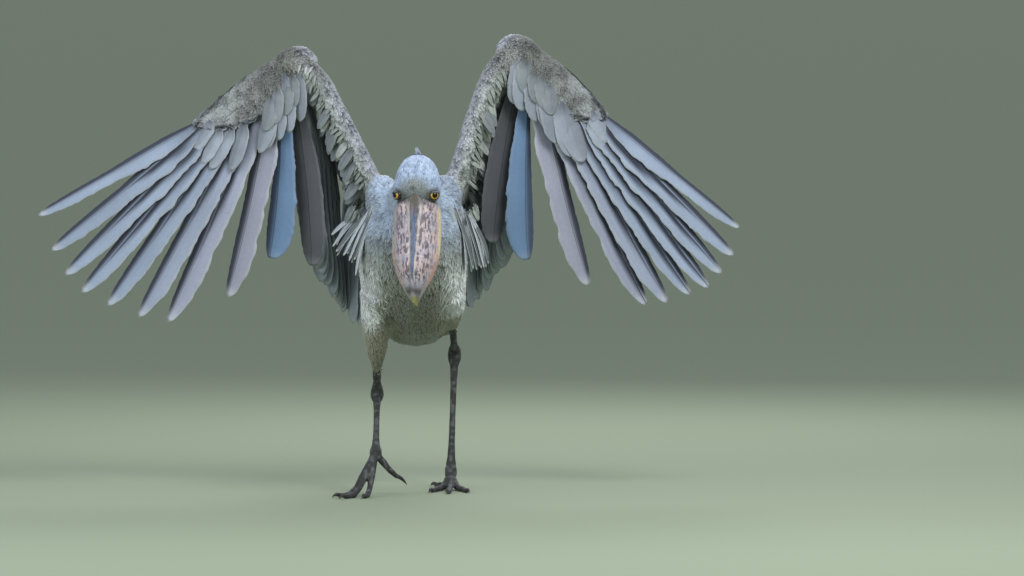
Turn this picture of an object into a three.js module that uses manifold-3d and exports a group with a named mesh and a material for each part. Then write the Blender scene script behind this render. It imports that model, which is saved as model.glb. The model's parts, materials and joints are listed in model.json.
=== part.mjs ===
// A life-size shoebill that stands with one foot ahead of the other, its bill lowered and both wings raised.
// Millimetres, +Z up. The bird faces -Y, and its left side is towards +X. Places are given from the left
// foot's joint, FLOOR is the floor's height there, and the finished model is lifted to stand on Z = 0.
// Every part is one closed faceted body, and neighbours keep a gap of GAP between them.
import * as THREE from "three";
import Module from "manifold-3d";
import { mergeVertices } from "three/addons/utils/BufferGeometryUtils.js";

const wasm = await Module();
wasm.setup();

// Driving dimensions.
const GAP = 0.8;
const SLIVER = 0.35;
const BILL_LENGTH = 230;
const BILL_PITCH = THREE.MathUtils.degToRad(73);
const HEAD_YAW = THREE.MathUtils.degToRad(-8);
const EYE_RADIUS = 11.5;
const FLOOR = -42;
const PRIMARY_COUNT = 10;
const SECONDARY_COUNT = 10;
const TERTIAL_COUNT = 4;
const TAIL_COUNT = 8;
const TAIL_LENGTH = 235;
const TAIL_DROOP = THREE.MathUtils.degToRad(15);
const TAIL_SPREAD = THREE.MathUtils.degToRad(26);
const BLADE_THICKNESS = 3.2;
const EDGE_THICKNESS = 1.1;

const point = (x, y, z) => new THREE.Vector3(x, y, z);
const X = point(1, 0, 0);
const UP = point(0, 0, 1);
const mix = THREE.MathUtils.lerp;
const between = (a, b, t) => a.clone().lerp(b, t);

// Solids.

function solid(geometry) {
  const bare = geometry.clone();
  bare.deleteAttribute("normal");
  bare.deleteAttribute("uv");
  const merged = mergeVertices(bare, 1e-4);
  const make = (triVerts) =>
    new wasm.Manifold(
      new wasm.Mesh({ numProp: 3, vertProperties: merged.attributes.position.array, triVerts }),
    );
  const faces = new Uint32Array(merged.index.array);
  const made = make(faces);
  if (made.volume() > 0) return made;
  for (let i = 0; i < faces.length; i += 3) [faces[i], faces[i + 1]] = [faces[i + 1], faces[i]];
  return make(faces);
}

function geometryOf(manifold) {
  const mesh = manifold.getMesh();
  const places = new Float32Array(mesh.numVert * 3);
  for (let i = 0; i < mesh.numVert; i++) {
    places.set(mesh.vertProperties.subarray(i * mesh.numProp, i * mesh.numProp + 3), i * 3);
  }
  const geometry = new THREE.BufferGeometry();
  geometry.setAttribute("position", new THREE.BufferAttribute(places, 3));
  geometry.setIndex(new THREE.BufferAttribute(new Uint32Array(mesh.triVerts), 1));
  return geometry;
}

const union = (parts) => parts.reduce((whole, next) => whole.add(next));
const cut = (whole, tools) => tools.reduce((left, tool) => left.subtract(tool), whole);

// A cut can leave crumbs, so only the largest body is kept.
function largest(manifold) {
  const bodies = manifold.decompose();
  return bodies.reduce((best, next) => (next.volume() > best.volume() ? next : best));
}

// Skins a row of closed rings with the same number of points, and closes both ends.
function loft(rings) {
  const count = rings[0].length;
  const places = rings.flat();
  const faces = [];
  for (let r = 0; r + 1 < rings.length; r++) {
    for (let i = 0; i < count; i++) {
      const a = r * count + i;
      const b = r * count + ((i + 1) % count);
      faces.push(a, b, a + count, b, b + count, a + count);
    }
  }
  for (const [first, turn] of [[0, false], [(rings.length - 1) * count, true]]) {
    const middle = rings[turn ? rings.length - 1 : 0].reduce((sum, p) => sum.add(p), point(0, 0, 0));
    places.push(middle.divideScalar(count));
    const hub = places.length - 1;
    for (let i = 0; i < count; i++) {
      const a = first + i;
      const b = first + ((i + 1) % count);
      faces.push(...(turn ? [a, b, hub] : [b, a, hub]));
    }
  }
  const geometry = new THREE.BufferGeometry();
  geometry.setAttribute("position", new THREE.Float32BufferAttribute(places.flatMap((p) => p.toArray()), 3));
  geometry.setIndex(faces);
  return solid(geometry);
}

// A ring of points: a rounded outline of half sizes a along side and b along up. Squareness 2 is an ellipse.
function ring(centre, side, up, a, b, count, squareness = 2) {
  return Array.from({ length: count }, (_, i) => {
    const turn = (2 * Math.PI * i) / count;
    const [c, s] = [Math.cos(turn), Math.sin(turn)];
    const [u, v] = [c, s].map((k) => Math.sign(k) * Math.abs(k) ** (2 / squareness));
    return centre.clone().addScaledVector(side, a * u).addScaledVector(up, b * v);
  });
}

// A rounded body along a smooth line. Each station is [centre, half width, half depth].
function bodyAlong(stations, { steps = 14, count = 20, side = X, grow = 0, squareness = 2 } = {}) {
  const line = new THREE.CatmullRomCurve3(stations.map((s) => s[0]), false, "centripetal");
  const sizes = (k) => new THREE.CatmullRomCurve3(stations.map((s, i) => point(s[k], i, 0)));
  const [wide, deep] = [sizes(1), sizes(2)];
  const rings = [];
  for (let i = 0; i <= steps; i++) {
    const t = i / steps;
    const along = line.getTangent(t).normalize();
    const across = side.clone().addScaledVector(along, -side.dot(along)).normalize();
    const up = new THREE.Vector3().crossVectors(across, along);
    const centre = line.getPoint(t);
    if (i === 0) centre.addScaledVector(along, -grow);
    if (i === steps) centre.addScaledVector(along, grow);
    const [a, b] = [wide, deep].map((sizeAt) => Math.max(sizeAt.getPoint(t).x, 0.6) + grow);
    rings.push(ring(centre, across, up, a, b, count, squareness));
  }
  return loft(rings);
}

// A feather blade: a thin lens across a bowed shaft from root to tip. Facing is the way its flat side looks.
function blade({ root, tip, facing, width, bow, notch = 0, steps = 4, grow = 0 }) {
  const middle = between(root, tip, 0.5).add(bow);
  const shaft = new THREE.QuadraticBezierCurve3(root, middle, tip);
  const rings = [];
  for (let i = 0; i <= steps; i++) {
    const t = i / steps;
    const along = shaft.getTangent(t).normalize();
    const normal = facing.clone().addScaledVector(along, -facing.dot(along)).normalize();
    const across = new THREE.Vector3().crossVectors(along, normal);
    const taper = Math.min(1, 0.35 + t * 3) * Math.sqrt(Math.max(0, 1 - ((t - 0.62) / 0.39) ** 2 * (t > 0.62)));
    const slim = 1 - notch * THREE.MathUtils.smoothstep(t, 0.42, 0.58);
    const half = Math.max(width * 0.5 * taper * slim, 1.5) + grow;
    const edge = EDGE_THICKNESS / 2 + grow;
    const thick = (BLADE_THICKNESS / 2) * mix(1, 0.6, t) + grow;
    const at = shaft.getPoint(t).addScaledVector(along, i === 0 ? -grow : i === steps ? grow : 0);
    const corner = (u, v) => at.clone().addScaledVector(across, u).addScaledVector(normal, v);
    rings.push([
      corner(-half, -edge),
      corner(0, -thick),
      corner(half, -edge),
      corner(half, edge),
      corner(0, thick),
      corner(-half, edge),
    ]);
  }
  return loft(rings);
}

// Head and bill. Ahead runs from the base of the bill to its tip, and crown is the way the crown looks.
const BILL_BASE = point(3, -222, 618);
const turned = (v) => v.applyAxisAngle(UP, HEAD_YAW);
const AHEAD = turned(point(0, -Math.cos(BILL_PITCH), -Math.sin(BILL_PITCH)));
const CROWN = turned(point(0, -Math.sin(BILL_PITCH), Math.cos(BILL_PITCH)));
const BESIDE = turned(point(1, 0, 0));

const inHead = (ahead, crown, beside = 0) =>
  BILL_BASE.clone()
    .addScaledVector(AHEAD, ahead)
    .addScaledVector(CROWN, crown)
    .addScaledVector(BESIDE, beside);

function skull(grow = 0) {
  const stations = [
    [inHead(38, -58), 40, 24],
    [inHead(17, -49), 51, 36],
    [inHead(-3, -39), 54, 42],
    [inHead(-22, -33), 53.5, 47],
    [inHead(-44, -32), 50, 49],
    [inHead(-65, -37), 43, 44],
    [inHead(-80, -43), 30, 31],
    [inHead(-88, -47), 10, 9],
  ];
  return bodyAlong(stations, { steps: 8, count: 12, side: BESIDE, grow });
}

// Three short pointed tufts stand up at the back of the crown.
function crest() {
  const tufts = [-1, 0, 1].map((k) => {
    const root = inHead(-74, -12, k * 9);
    const tip = inHead(-93 - 5 * (k === 0), 8, k * 12);
    return bodyAlong([[root, 9, 7], [between(root, tip, 0.6), 5, 4], [tip, 1, 1]], { steps: 2, count: 5 });
  });
  return union(tufts);
}

const eyeCentre = (mirror) => inHead(-2, -18, mirror * 38);
const ball = (centre, radius) =>
  solid(new THREE.IcosahedronGeometry(radius, 1).translate(centre.x, centre.y, centre.z));

// Half width of the upper bill, and the heights of its ridge and cutting edge, at a share s of its length.
const baseShare = (s) => mix(0.58, 1, THREE.MathUtils.smoothstep(s, 0, 0.15));
const billHalfWidth = (s) => baseShare(s) * (48 + 22 * s - 28 * s * s) - 140 * Math.max(0, s - 0.46) ** 2;
const ridgeHeight = (s) => 1 - 42 * s + 46 * s * s - 66 * Math.max(0, s - 0.66) ** 1.6 * 4.4;
const cuttingEdge = (s) => -50 - 10 * Math.sin(Math.PI * Math.min(1, s * 0.8)) - 34 * Math.max(0, s - 0.9) * 8;

function billRing(s, top, bottom, half, ridge) {
  const at = (u, crown) => inHead(s * BILL_LENGTH, crown, u * half);
  const rise = top - bottom;
  const outline = [
    [0, 1],
    [ridge, 0.985],
    [0.42, 0.86],
    [0.72, 0.64],
    [0.93, 0.34],
    [1, 0.1],
    [0.97, 0],
  ];
  const right = outline.map(([u, v]) => at(u, bottom + rise * v));
  const left = outline.slice(1).reverse().map(([u, v]) => at(-u, bottom + rise * v));
  return [...right, ...left];
}

function upperBill(grow = 0) {
  const steps = 11;
  const rings = [];
  for (let i = 0; i <= steps; i++) {
    const s = mix(-grow, BILL_LENGTH + grow, i / steps) / BILL_LENGTH;
    const half = Math.max(billHalfWidth(s), 4) + grow;
    const top = ridgeHeight(s) + grow;
    const bottom = Math.min(cuttingEdge(s), top - 9) - grow;
    rings.push(billRing(s, top, bottom, half, mix(0.26, 0.12, s)));
  }
  return loft(rings);
}

function lowerBill(grow = 0) {
  const steps = 8;
  const reach = 0.87;
  const rings = [];
  for (let i = 0; i <= steps; i++) {
    const s = mix(-grow, reach * BILL_LENGTH + grow, i / steps) / BILL_LENGTH;
    const half = Math.max(billHalfWidth(s) - 5, 6) + grow;
    const top = cuttingEdge(s) + 6 + grow;
    const bottom = -82 - 6 * Math.sin(Math.PI * Math.min(s * 1.3, 1)) + 30 * Math.max(0, s - 0.45) ** 1.3 * 1.9 - grow;
    rings.push(ring(inHead(s * BILL_LENGTH, (top + bottom) / 2), BESIDE, CROWN, half, (top - bottom) / 2, 12, 2.5));
  }
  return loft(rings);
}

// Trunk, neck and tail. A rounded shoulder stands out on each side below the raised wing.
function shoulder(mirror, grow) {
  const at = (out, z) => point(mirror * out - 2, -32, z);
  const stations = [
    [at(58, 520), 16, 26],
    [at(62, 556), 43, 54],
    [at(64, 600), 49, 58],
    [at(66, 636), 39, 46],
    [at(66, 657), 13, 16],
  ];
  return bodyAlong(stations, { steps: 5, count: 10, grow });
}

function trunkBody(grow = 0) {
  const stations = [
    [point(-2, -134, 556), 50, 54],
    [point(-3, -100, 544), 96, 94],
    [point(-4, -38, 514), 119, 126],
    [point(-4, 44, 468), 123, 141],
    [point(-3, 128, 416), 119, 139],
    [point(0, 205, 374), 104, 116],
    [point(0, 268, 348), 78, 82],
    [point(0, 318, 334), 54, 50],
    [point(0, 354, 326), 34, 26],
  ];
  const trunk = bodyAlong(stations, { steps: 11, count: 16, grow, squareness: 2.15 });
  return union([trunk, shoulder(1, grow), shoulder(-1, grow)]);
}

function neckBody(grow = 0) {
  const stations = [
    [point(0, -10, 560), 78, 62],
    [point(0, -70, 572), 74, 66],
    [point(1, -116, 592), 64, 60],
    [point(2, -144, 622), 53, 54],
    [point(3, -158, 656), 42, 42],
  ];
  return bodyAlong(stations, { steps: 5, count: 12, grow });
}

function tailFan() {
  const hinge = point(0, 268, 352);
  const feathers = Array.from({ length: TAIL_COUNT }, (_, i) => {
    const turn = mix(-TAIL_SPREAD, TAIL_SPREAD, i / (TAIL_COUNT - 1)) / 2;
    const flat = point(Math.sin(turn), Math.cos(turn), 0);
    const along = flat.applyAxisAngle(X, -TAIL_DROOP);
    const centred = 1 - Math.abs(i / (TAIL_COUNT - 1) - 0.5) * 2;
    const root = hinge.clone().addScaledVector(along, 30).add(point(0, 0, centred * 5));
    const tip = hinge.clone().addScaledVector(along, 60 + TAIL_LENGTH + 10 * centred).add(point(0, 0, centred * 4));
    return blade({ root, tip, facing: UP.clone(), width: 50, bow: point(0, 0, 6), steps: 3 });
  });
  const root = bodyAlong(
    [
      [point(0, 292, 347), 50, 26],
      [point(0, 350, 331), 44, 21],
      [point(0, 430, 308), 32, 9],
    ],
    { steps: 3, count: 10 },
  );
  return union([root, ...feathers]);
}

// Wings. Each wing's joints are places in the bird's frame. The wing tip hangs outwards and down from the wrist.
// The fan holds, from the innermost primary to the outermost, its angle below level and its tip's reach.
const WINGS = {
  left: {
    mirror: 1,
    front: [point(64, 6, 596), point(100, -22, 690), point(130, -34, 790), point(172, -38, 882), point(218, -28, 930)],
    back: [point(66, 150, 530), point(128, 215, 596), point(166, 232, 684), point(206, 160, 794), point(240, 60, 890)],
    elbow: point(152, 178, 706),
    wrist: point(222, -8, 922),
    handTip: point(398, 14, 796),
    secondaryTip: point(208, 112, 478),
    tertialTips: [point(138, 285, 376), point(121, 262, 352)],
    fan: [
      [97, 424],
      [87, 458],
      [73, 536],
      [63, 622],
      [59.2, 640],
      [54.6, 652],
      [51, 664],
      [47.4, 658],
      [43.4, 648],
      [38.6, 618],
    ],
  },
  right: {
    mirror: -1,
    front: [point(-64, 6, 596), point(-112, -22, 690), point(-157, -34, 780), point(-200, -38, 856), point(-248, -28, 902)],
    back: [point(-66, 150, 530), point(-134, 215, 594), point(-182, 232, 674), point(-230, 160, 774), point(-268, 60, 864)],
    elbow: point(-168, 178, 696),
    wrist: point(-256, -8, 896),
    handTip: point(-456, 14, 778),
    secondaryTip: point(-222, 112, 456),
    tertialTips: [point(-158, 285, 340), point(-123, 262, 306)],
    fan: [
      [94, 446],
      [82, 432],
      [73.4, 534],
      [63.4, 632],
      [58, 654],
      [52, 672],
      [46.8, 686],
      [42.4, 684],
      [37.4, 672],
      [30.6, 652],
    ],
  },
};

const ELBOW_SHARE = 0.46;

// The arm is a row of drop-shaped sections from the leading edge to the roots of the flight feathers.
function armSections(wing, from, to, steps, grow) {
  const front = new THREE.CatmullRomCurve3(wing.front);
  const back = new THREE.CatmullRomCurve3(wing.back);
  const rings = [];
  for (let i = 0; i <= steps; i++) {
    const t = mix(from, to, i / steps);
    const [nose, trail] = [front.getPoint(t), back.getPoint(t)];
    const chord = trail.clone().sub(nose);
    const length = chord.length();
    chord.normalize();
    const run = front.getTangent(t);
    nose.addScaledVector(run, i === 0 ? -grow : i === steps ? grow : 0);
    const normal = new THREE.Vector3().crossVectors(chord, run).normalize();
    const swell = mix(25, 27, Math.sin(Math.PI * t)) - 3 * t;
    const shape = [
      [-0.1, 0],
      [-0.06, 0.62],
      [0.06, 1],
      [0.24, 0.98],
      [0.6, 0.62],
      [1, 0.1],
    ];
    const at = ([c, h], sign) =>
      nose
        .clone()
        .addScaledVector(chord, c * length + (c < 0 ? -grow : c === 1 ? grow : 0))
        .addScaledVector(normal, sign * (h * swell + grow));
    rings.push([...shape.map((s) => at(s, 1)), ...shape.slice(1).reverse().map((s) => at(s, -1))]);
  }
  return loft(rings);
}

function tertials(wing, grow) {
  return Array.from({ length: TERTIAL_COUNT }, (_, i) => {
    const t = i / (TERTIAL_COUNT - 1);
    const root = point(wing.mirror * mix(146, 104, t), mix(205, 150, t), mix(650, 580, t));
    const tip = between(...wing.tertialTips, t);
    const facing = point(wing.mirror * 0.82, -0.57, 0);
    return blade({ root, tip, facing, width: 58, bow: point(wing.mirror * 14, 8, 0), steps: 3, grow });
  });
}

const upperArm = (wing, grow = 0) =>
  union([armSections(wing, 0, ELBOW_SHARE, 4, grow), ...tertials(wing, grow)]);

function secondaries(wing, grow) {
  return Array.from({ length: SECONDARY_COUNT }, (_, i) => {
    const t = i / (SECONDARY_COUNT - 1);
    const root = between(wing.wrist, wing.elbow, mix(0.1, 0.98, t)).add(point(wing.mirror * 10, 6, -10));
    const tip = between(wing.secondaryTip, wing.tertialTips[0], t);
    const facing = point(wing.mirror * mix(0.32, 0.8, t), -mix(0.95, 0.6, t), 0);
    return blade({ root, tip, facing, width: 62, bow: point(wing.mirror * 16, 10, 0), steps: 3, grow });
  });
}

const forearm = (wing, grow = 0) =>
  union([armSections(wing, ELBOW_SHARE + 0.006, 1, 5, grow), ...secondaries(wing, grow)]);

// Primary i counts from the innermost.
function primary(wing, i, grow) {
  const [fall, reach] = wing.fan[i];
  const angle = THREE.MathUtils.degToRad(fall);
  const share = i / (PRIMARY_COUNT - 1);
  const root = between(wing.wrist, wing.handTip, mix(0.06, 0.97, share)).add(point(0, 3 + 12 * (1 - share), -6));
  const tip = wing.wrist
    .clone()
    .add(point(wing.mirror * Math.cos(angle) * reach, mix(92, 52, share), -Math.sin(angle) * reach));
  return {
    root,
    tip,
    facing: point(wing.mirror * 0.2, -1, -0.12),
    width: mix(54, 38, share),
    bow: point(wing.mirror * mix(-18, -2, share), mix(6, -22, share), mix(-22, -4, share)),
    notch: mix(0.05, 0.24, share),
    grow,
  };
}

function handBody(wing, grow) {
  const [wrist, end] = [wing.wrist, wing.handTip];
  const spur = between(wrist, end, -0.14);
  const drop = point(0, 0, -1);
  const stations = [
    [spur.clone().addScaledVector(drop, 14), 22, 18],
    [wrist.clone().addScaledVector(drop, 16), 44, 27],
    [between(wrist, end, 0.35).addScaledVector(drop, 22), 52, 22],
    [between(wrist, end, 0.7).addScaledVector(drop, 22), 44, 15],
    [between(wrist, end, 1.0).addScaledVector(drop, 14), 26, 9],
    [between(wrist, end, 1.14).addScaledVector(drop, 6), 8, 4],
  ];
  const side = point(-wing.mirror * 0.5, 0, -0.86);
  const wristKnob = bodyAlong(
    [
      [wrist.clone().add(point(wing.mirror * -46, 0, -10)), 20, 16],
      [wrist.clone().add(point(wing.mirror * -22, 0, -8)), 41, 30],
      [wrist.clone().add(point(wing.mirror * 2, 0, -8)), 44, 33],
      [wrist.clone().add(point(wing.mirror * 26, 0, -14)), 38, 30],
      [wrist.clone().add(point(wing.mirror * 46, 0, -20)), 20, 16],
    ],
    { steps: 5, count: 10, side: UP, grow },
  );
  return union([bodyAlong(stations, { steps: 7, count: 12, side, grow }), wristKnob]);
}

function hand(wing, grow = 0) {
  const feathers = Array.from({ length: PRIMARY_COUNT }, (_, i) => blade(primary(wing, i, grow)));
  return union([handBody(wing, grow), ...feathers]);
}

// Legs. The left foot stands flat. The right foot is a stride ahead, its joint raised over the ends of its toes.
// The falls are the heights above the floor of the front toes and of the hind toe, from the joint outwards.
const LEGS = {
  left: {
    mirror: 1,
    knee: point(76, 20, 412),
    feathered: 0.62,
    ankle: point(85, 232, 254),
    joint: point(77, 176, 0),
    heading: THREE.MathUtils.degToRad(-1),
    reach: 1,
    fall: [37, 24, 8.6, 6.2, 6.2, 4.8, 5],
    hindFall: [37, 24, 8.6, 6.2, 6.2, 4.8, 5],
  },
  right: {
    mirror: -1,
    knee: point(-84, 6, 402),
    feathered: 0.8,
    ankle: point(-84, 156, 168),
    joint: point(-84, -38, 54),
    heading: THREE.MathUtils.degToRad(-30),
    reach: 0.78,
    fall: [91, 72, 42, 20, 6.2, 4.8, 5],
    hindFall: [91, 82, 70, 60, 51, 44, 38],
  },
};
// Length, and angle from the foot's heading, of the inner, middle, outer and hind toes.
const TOES = [
  [132, -17],
  [168, 0],
  [140, 16],
  [70, -150],
];
const CLAW_LENGTHS = [19, 22, 19, 22];

function drumstick(leg, grow = 0) {
  const at = (t) => between(leg.knee, leg.ankle, t);
  const stations = [
    [at(0), 38, 56],
    [at(leg.feathered * 0.38), 35, 46],
    [at(leg.feathered * 0.7), 26, 32],
    [at(leg.feathered), 12.5, 15],
  ];
  return bodyAlong(stations, { steps: 6, count: 12, grow });
}

function shank(leg) {
  const at = (t) => between(leg.knee, leg.ankle, t);
  return bodyAlong([[at(leg.feathered - 0.15), 8, 9], [at(0.86), 7.5, 9], [at(0.94), 12, 13], [at(0.985), 14, 15]], { steps: 5, count: 10 });
}

function tarsus(leg, grow = 0) {
  const at = (t) => between(leg.ankle, leg.joint, t);
  const stations = [
    [at(0), 15, 16],
    [at(0.05), 15, 15.5],
    [at(0.13), 8.5, 10.5],
    [at(0.45), 6.6, 8.6],
    [at(0.85), 7.8, 8.4],
    [at(0.96), 12, 9],
  ];
  return bodyAlong(stations, { steps: 8, count: 8, grow });
}

const toeWay = (leg, k) => {
  const turn = leg.heading + leg.mirror * THREE.MathUtils.degToRad(TOES[k][1]);
  return point(Math.sin(turn), -Math.cos(turn), 0);
};

const HIND_TOE = 3;
const KNUCKLES = [
  [0, 9, 11],
  [0.15, 7.5, 8.5],
  [0.36, 8, 8.4],
  [0.52, 6.4, 7],
  [0.7, 7, 7],
  [0.85, 5.4, 5.8],
  [1, 5.2, 5.6],
];

// A toe drops from the foot joint, then runs along the floor, and swells at each joint.
function toe(leg, k, grow) {
  const reach = TOES[k][0] * leg.reach;
  const way = toeWay(leg, k);
  const fall = k === HIND_TOE ? leg.hindFall : leg.fall;
  const stations = KNUCKLES.map(([share, half, deep], i) => [
    leg.joint.clone().addScaledVector(way, share * reach).setZ(FLOOR + fall[i]),
    half,
    deep,
  ]);
  return bodyAlong(stations, { steps: 6, count: 6, side: point(-way.y, way.x, 0), grow });
}

function claw(leg, k) {
  const length = TOES[k][0] * leg.reach;
  const fall = k === HIND_TOE ? leg.hindFall : leg.fall;
  const way = toeWay(leg, k);
  const slope = Math.min(0, fall[6] - fall[5]) * 2.4;
  const at = (share, rise) =>
    leg.joint
      .clone()
      .addScaledVector(way, length + GAP + share * CLAW_LENGTHS[k])
      .setZ(FLOOR + fall[6] + rise + slope * share);
  const stations = [
    [at(0.02, 0.8), 4.2, 4.6],
    [at(0.5, 2), 3, 3.2],
    [at(1, -3.4), 0.9, 0.9],
  ];
  return bodyAlong(stations, { steps: 3, count: 6, side: point(-way.y, way.x, 0) });
}

const floorBlock = solid(new THREE.BoxGeometry(4000, 4000, 200).translate(0, 0, FLOOR - 100));

function foot(leg, grow = 0) {
  const pad = bodyAlong(
    [
      [leg.joint.clone().add(point(0, 0, -22)), 8, 8],
      [leg.joint.clone().add(point(0, 0, -10)), 14, 13],
      [leg.joint.clone().add(point(0, 0, 6)), 13, 10],
    ],
    { steps: 3, count: 8, side: X, grow },
  );
  return union([pad, ...TOES.map((_, k) => toe(leg, k, grow))]).subtract(floorBlock);
}

// Assembly.
const plumage = (colour) => new THREE.MeshStandardMaterial({ color: colour, roughness: 0.85, metalness: 0 });
const MATERIALS = {
  head: plumage(0x8f9aa8),
  neck: plumage(0x8d98a6),
  trunk: plumage(0x858a86),
  tail: plumage(0x5d646d),
  arm: plumage(0xa2a6a8),
  flight: plumage(0x7f8796),
  thigh: plumage(0x8b8b82),
  bill: new THREE.MeshStandardMaterial({ color: 0xa58f83, roughness: 0.5, metalness: 0 }),
  eye: new THREE.MeshStandardMaterial({ color: 0xc9a23a, roughness: 0.1, metalness: 0 }),
  leg: new THREE.MeshStandardMaterial({ color: 0x35373b, roughness: 0.7, metalness: 0 }),
  claw: new THREE.MeshStandardMaterial({ color: 0x1d1c1c, roughness: 0.45, metalness: 0 }),
};

const bird = new THREE.Group();

function add(name, manifold, material) {
  const mesh = new THREE.Mesh(geometryOf(largest(manifold.simplify(SLIVER))), MATERIALS[material]);
  mesh.name = name;
  bird.add(mesh);
}

const eyes = { left: 1, right: -1 };
const wholeUpperBill = upperBill(GAP);
const wholeSkull = skull(GAP);
const sockets = Object.values(eyes).map((mirror) => ball(eyeCentre(mirror), EYE_RADIUS + GAP));

add("head", cut(union([skull(), crest()]), [wholeUpperBill, lowerBill(GAP), ...sockets]), "head");
add("bill_upper", upperBill(), "bill");
add("bill_lower", cut(lowerBill(), [wholeUpperBill]), "bill");
for (const [side, mirror] of Object.entries(eyes)) {
  add("eye_" + side, cut(ball(eyeCentre(mirror), EYE_RADIUS), [wholeUpperBill]), "eye");
}

const trunk = trunkBody();
const wholeTrunk = trunkBody(GAP);
const trunkCutters = [wholeTrunk];
const lowBill = lowerBill(GAP);
add("neck", cut(neckBody(), [wholeTrunk, wholeSkull, wholeUpperBill, lowBill]), "neck");
add("trunk", cut(trunk, [lowBill, wholeSkull]), "trunk");
add("tail", cut(tailFan(), trunkCutters), "tail");

for (const [side, wing] of Object.entries(WINGS)) {
  const wholeArm = upperArm(wing, GAP);
  const wholeForearm = forearm(wing, 1.5 * GAP);
  const near = [wholeTrunk, neckBody(GAP), wholeSkull];
  add(`wing_${side}_upper_arm`, cut(upperArm(wing), near), "arm");
  add(`wing_${side}_forearm`, cut(forearm(wing), [...near, wholeArm]), "arm");
  add(`wing_${side}_hand`, cut(hand(wing), [wholeArm, wholeForearm]), "flight");
}

for (const [side, leg] of Object.entries(LEGS)) {
  const wholeThigh = drumstick(leg, GAP);
  add(`leg_${side}_thigh`, cut(drumstick(leg), trunkCutters), "thigh");
  add(`leg_${side}_shank`, cut(shank(leg), [wholeThigh, wholeTrunk, tarsus(leg, GAP)]), "leg");
  add(`leg_${side}_tarsus`, cut(tarsus(leg), [foot(leg, GAP)]), "leg");
  add(`leg_${side}_foot`, foot(leg), "leg");
  TOES.forEach((_, k) => add(`claw_${side}_${k + 1}`, claw(leg, k).subtract(floorBlock), "claw"));
}

// The origin is under the middle of the model's box, on the floor.
const box = new THREE.Box3().setFromObject(bird);
const middle = box.getCenter(new THREE.Vector3());
bird.position.set(-middle.x, -middle.y, -FLOOR);

const model = new THREE.Group();
model.add(bird);

export default model;
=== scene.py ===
"""The look of a life-size shoebill model: one skin, modelled feathers, bill, eyes, scaly legs and claws.

Shapes are worked out in millimetres in the bird's own frame, with +Z up, the bird facing -Y and its left side
towards +X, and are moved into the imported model's frame when their meshes are made.
"""

import json
import math

import bpy
import numpy as np
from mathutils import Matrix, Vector
from mathutils.bvhtree import BVHTree


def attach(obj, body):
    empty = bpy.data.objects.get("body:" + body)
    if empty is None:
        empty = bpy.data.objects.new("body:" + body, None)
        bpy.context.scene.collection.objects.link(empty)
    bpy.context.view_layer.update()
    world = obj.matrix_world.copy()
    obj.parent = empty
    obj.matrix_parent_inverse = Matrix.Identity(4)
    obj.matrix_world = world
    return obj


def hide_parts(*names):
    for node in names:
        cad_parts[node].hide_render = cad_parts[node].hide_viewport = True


rng = np.random.default_rng(11)
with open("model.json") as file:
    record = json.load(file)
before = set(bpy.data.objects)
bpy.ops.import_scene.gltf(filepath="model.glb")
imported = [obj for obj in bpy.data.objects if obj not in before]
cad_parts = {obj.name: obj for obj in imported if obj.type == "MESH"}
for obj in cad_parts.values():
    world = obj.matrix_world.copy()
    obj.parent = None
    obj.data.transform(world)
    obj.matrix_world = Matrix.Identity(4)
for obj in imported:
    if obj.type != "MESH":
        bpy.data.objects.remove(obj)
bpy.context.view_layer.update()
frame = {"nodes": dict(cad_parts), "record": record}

# The left sole's mount is at this place in the bird's frame, which gives the shift between the two frames.
SOLE_LEFT_MM = np.array([74.508, 33.222, -42.0])
mounts = {m["name"]: m for m in frame["record"]["mounts"]}
SHIFT = np.array(mounts["sole_left"]["pos_m"]) - SOLE_LEFT_MM / 1000


def arr(*values):
    return np.array(values, float)


def unit(v):
    return v / np.maximum(np.linalg.norm(v, axis=-1, keepdims=True), 1e-9)


def smoothstep(x, low, high):
    t = np.clip((x - low) / (high - low), 0, 1)
    return t * t * (3 - 2 * t)


def mix(a, b, t):
    return a + (b - a) * t


def hump(x, middle, width, power=2):
    """1 at the middle, falling to 0 on both sides. A higher power gives it a flat top."""
    return np.exp(-(((x - middle) / width) ** power))


def srgb(r, g, b):
    """A colour given as 0-255 display values, as linear light."""
    c = np.array([r, g, b], float) / 255
    return np.where(c <= 0.04045, c / 12.92, ((c + 0.055) / 1.055) ** 2.4)


def smooth_line(points, t):
    """Places on a smooth line through the points, at shares t of the way."""
    p = np.array(points, float)
    spans = len(p) - 1
    p = np.vstack([2 * p[0] - p[1], p, 2 * p[-1] - p[-2]])
    u = np.clip(np.asarray(t, float) * spans, 0, spans - 1e-9)
    k = u.astype(int)
    f = (u - k)[..., None]
    a, b, c, d = p[k], p[k + 1], p[k + 2], p[k + 3]
    return 0.5 * (2 * b + (c - a) * f + (2 * a - 5 * b + 4 * c - d) * f**2 + (3 * b - a - 3 * c + d) * f**3)


# Large odd numbers that scramble a cell's place and the seed.
HASH = (73856093, 19349663, 83492791, 2654435761, 1274126177)


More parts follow.
